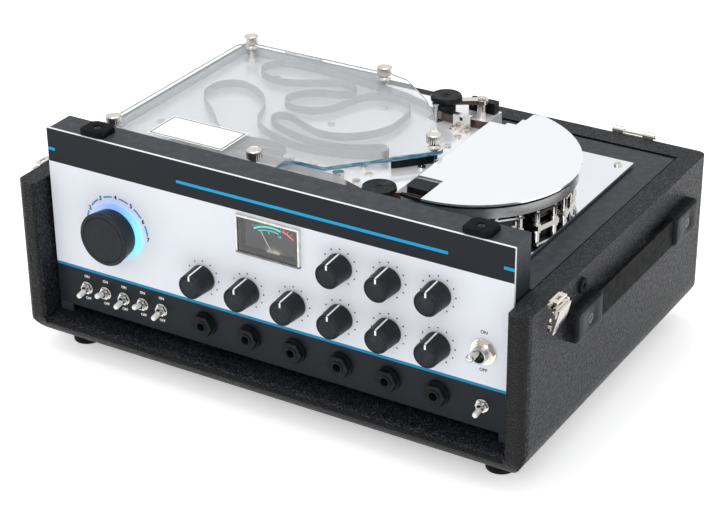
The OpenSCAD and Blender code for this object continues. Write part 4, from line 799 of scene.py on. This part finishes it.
# chrome gate in front of the tape beside the capstan: two bent brackets with a bar between them
GATE_LEFT, GATE_RIGHT, GATE_Y, GATE_FOOT = 43.0, 57.5, FRONT + 205.2, TRAY_TOP + 0.02
LEFT_WIDE, RIGHT_WIDE = 5.5, 6.5
BRACKET = [(0, 0), (-7.5, 0), (-7.5, 0.9), (-0.9, 0.9), (-0.9, 10.6), (3.6, 10.6), (3.6, 9.8), (0, 9.8)]
BAR = rectangle(0, 0, -0.8, 6.2)
GATE_SCREW = [(2.2, 0.9), (2.2, 1.9), (1.8, 2.3), (1.0, 2.35), (0.9, 1.7)]
bar_long = GATE_RIGHT - GATE_LEFT - LEFT_WIDE - RIGHT_WIDE
bm = bmesh.new()
add_prism(bm, BRACKET, on_side(GATE_LEFT, GATE_Y, GATE_FOOT), LEFT_WIDE)
add_prism(bm, BRACKET, on_side(GATE_RIGHT - RIGHT_WIDE, GATE_Y, GATE_FOOT), RIGHT_WIDE)
add_prism(bm, BAR, on_side(GATE_LEFT + LEFT_WIDE, GATE_Y, GATE_FOOT), bar_long)
for x in (GATE_LEFT + 2.7, GATE_RIGHT - 3.2):
    add_turned(bm, x, GATE_Y - 4.6, TRAY_TOP, GATE_SCREW, 20)
piece("tape_gate", bm, "nickel", smooth=30)

# ---------------------------------------------------------------- camera
TURN, DROP, ROLL = math.radians(31.083), math.radians(27.598), math.radians(-0.503)
CAMERA_PLACE = (0.71878, -1.201242, 0.79583)
forward = Vector((-math.sin(TURN) * math.cos(DROP), math.cos(TURN) * math.cos(DROP), -math.sin(DROP)))
level = Vector((math.cos(TURN), math.sin(TURN), 0))
upright = level.cross(forward)
right = level * math.cos(ROLL) + upright * math.sin(ROLL)
up = upright * math.cos(ROLL) - level * math.sin(ROLL)
camera_turn = Matrix((right, up, -forward)).transposed().to_4x4()
camera_turn.translation = CAMERA_PLACE
lens = bpy.data.cameras.new("camera")
lens.sensor_width = 36
lens.lens = 104.262
camera = bpy.data.objects.new("camera", lens)
scene.collection.objects.link(camera)
camera.matrix_world = camera_turn
scene.camera = camera

# ---------------------------------------------------------------- floor and light
FLOOR_HALF, FLOOR_DROP = 6, 0.0005
m = Mat("floor_paper", Specular_IOR_Level=0.2, Emission_Color=(1, 1, 1, 1), Emission_Strength=0.42)
m.set("Base Color", m.tinted((0.93, 0.93, 0.935, 1), 0.01, 2.0))
m.rough(0.7, 0.8, 5.0)
me = bpy.data.meshes.new("floor")
corners = rectangle(-FLOOR_HALF, -FLOOR_HALF, FLOOR_HALF, FLOOR_HALF)
me.from_pydata([(x, y, -FLOOR_DROP) for x, y in corners], [], [(0, 1, 2, 3)])
me.materials.append(mats["floor_paper"])
floor = bpy.data.objects.new("floor", me)
scene.collection.objects.link(floor)

world = bpy.data.worlds.new("studio")
world.use_nodes = True
scene.world = world
sky = Shading(world.node_tree)
height = sky.xyz(sky.coords.outputs["Generated"])[2]
background = world.node_tree.nodes["Background"]
sky_colour = sky.ramp(height, (0.0, 0.3), (0.1, 0.42), (0.3, 0.96), (0.55, 1.0), (1.0, 0.72))
world.node_tree.links.new(sky_colour, background.inputs["Color"])
background.inputs["Strength"].default_value = 0.95


def softbox(name, place, width, height, power):
    """A rectangular lamp that points at the object."""
    lamp = bpy.data.lights.new(name, "AREA")
    lamp.shape = "RECTANGLE"
    lamp.size = width
    lamp.size_y = height
    lamp.energy = power
    o = bpy.data.objects.new(name, lamp)
    scene.collection.objects.link(o)
    o.location = place
    o.rotation_euler = (Vector((0, 0, 0.1)) - Vector(place)).to_track_quat("-Z", "Y").to_euler()


softbox("top_light", (-0.3, 0.2, 1.9), width=1.6, height=1.2, power=12)
softbox("front_light", (0.5, -1.6, 1.3), width=0.9, height=0.7, power=5)
scene.view_settings.view_transform = "Standard"
scene.view_settings.look = "None"
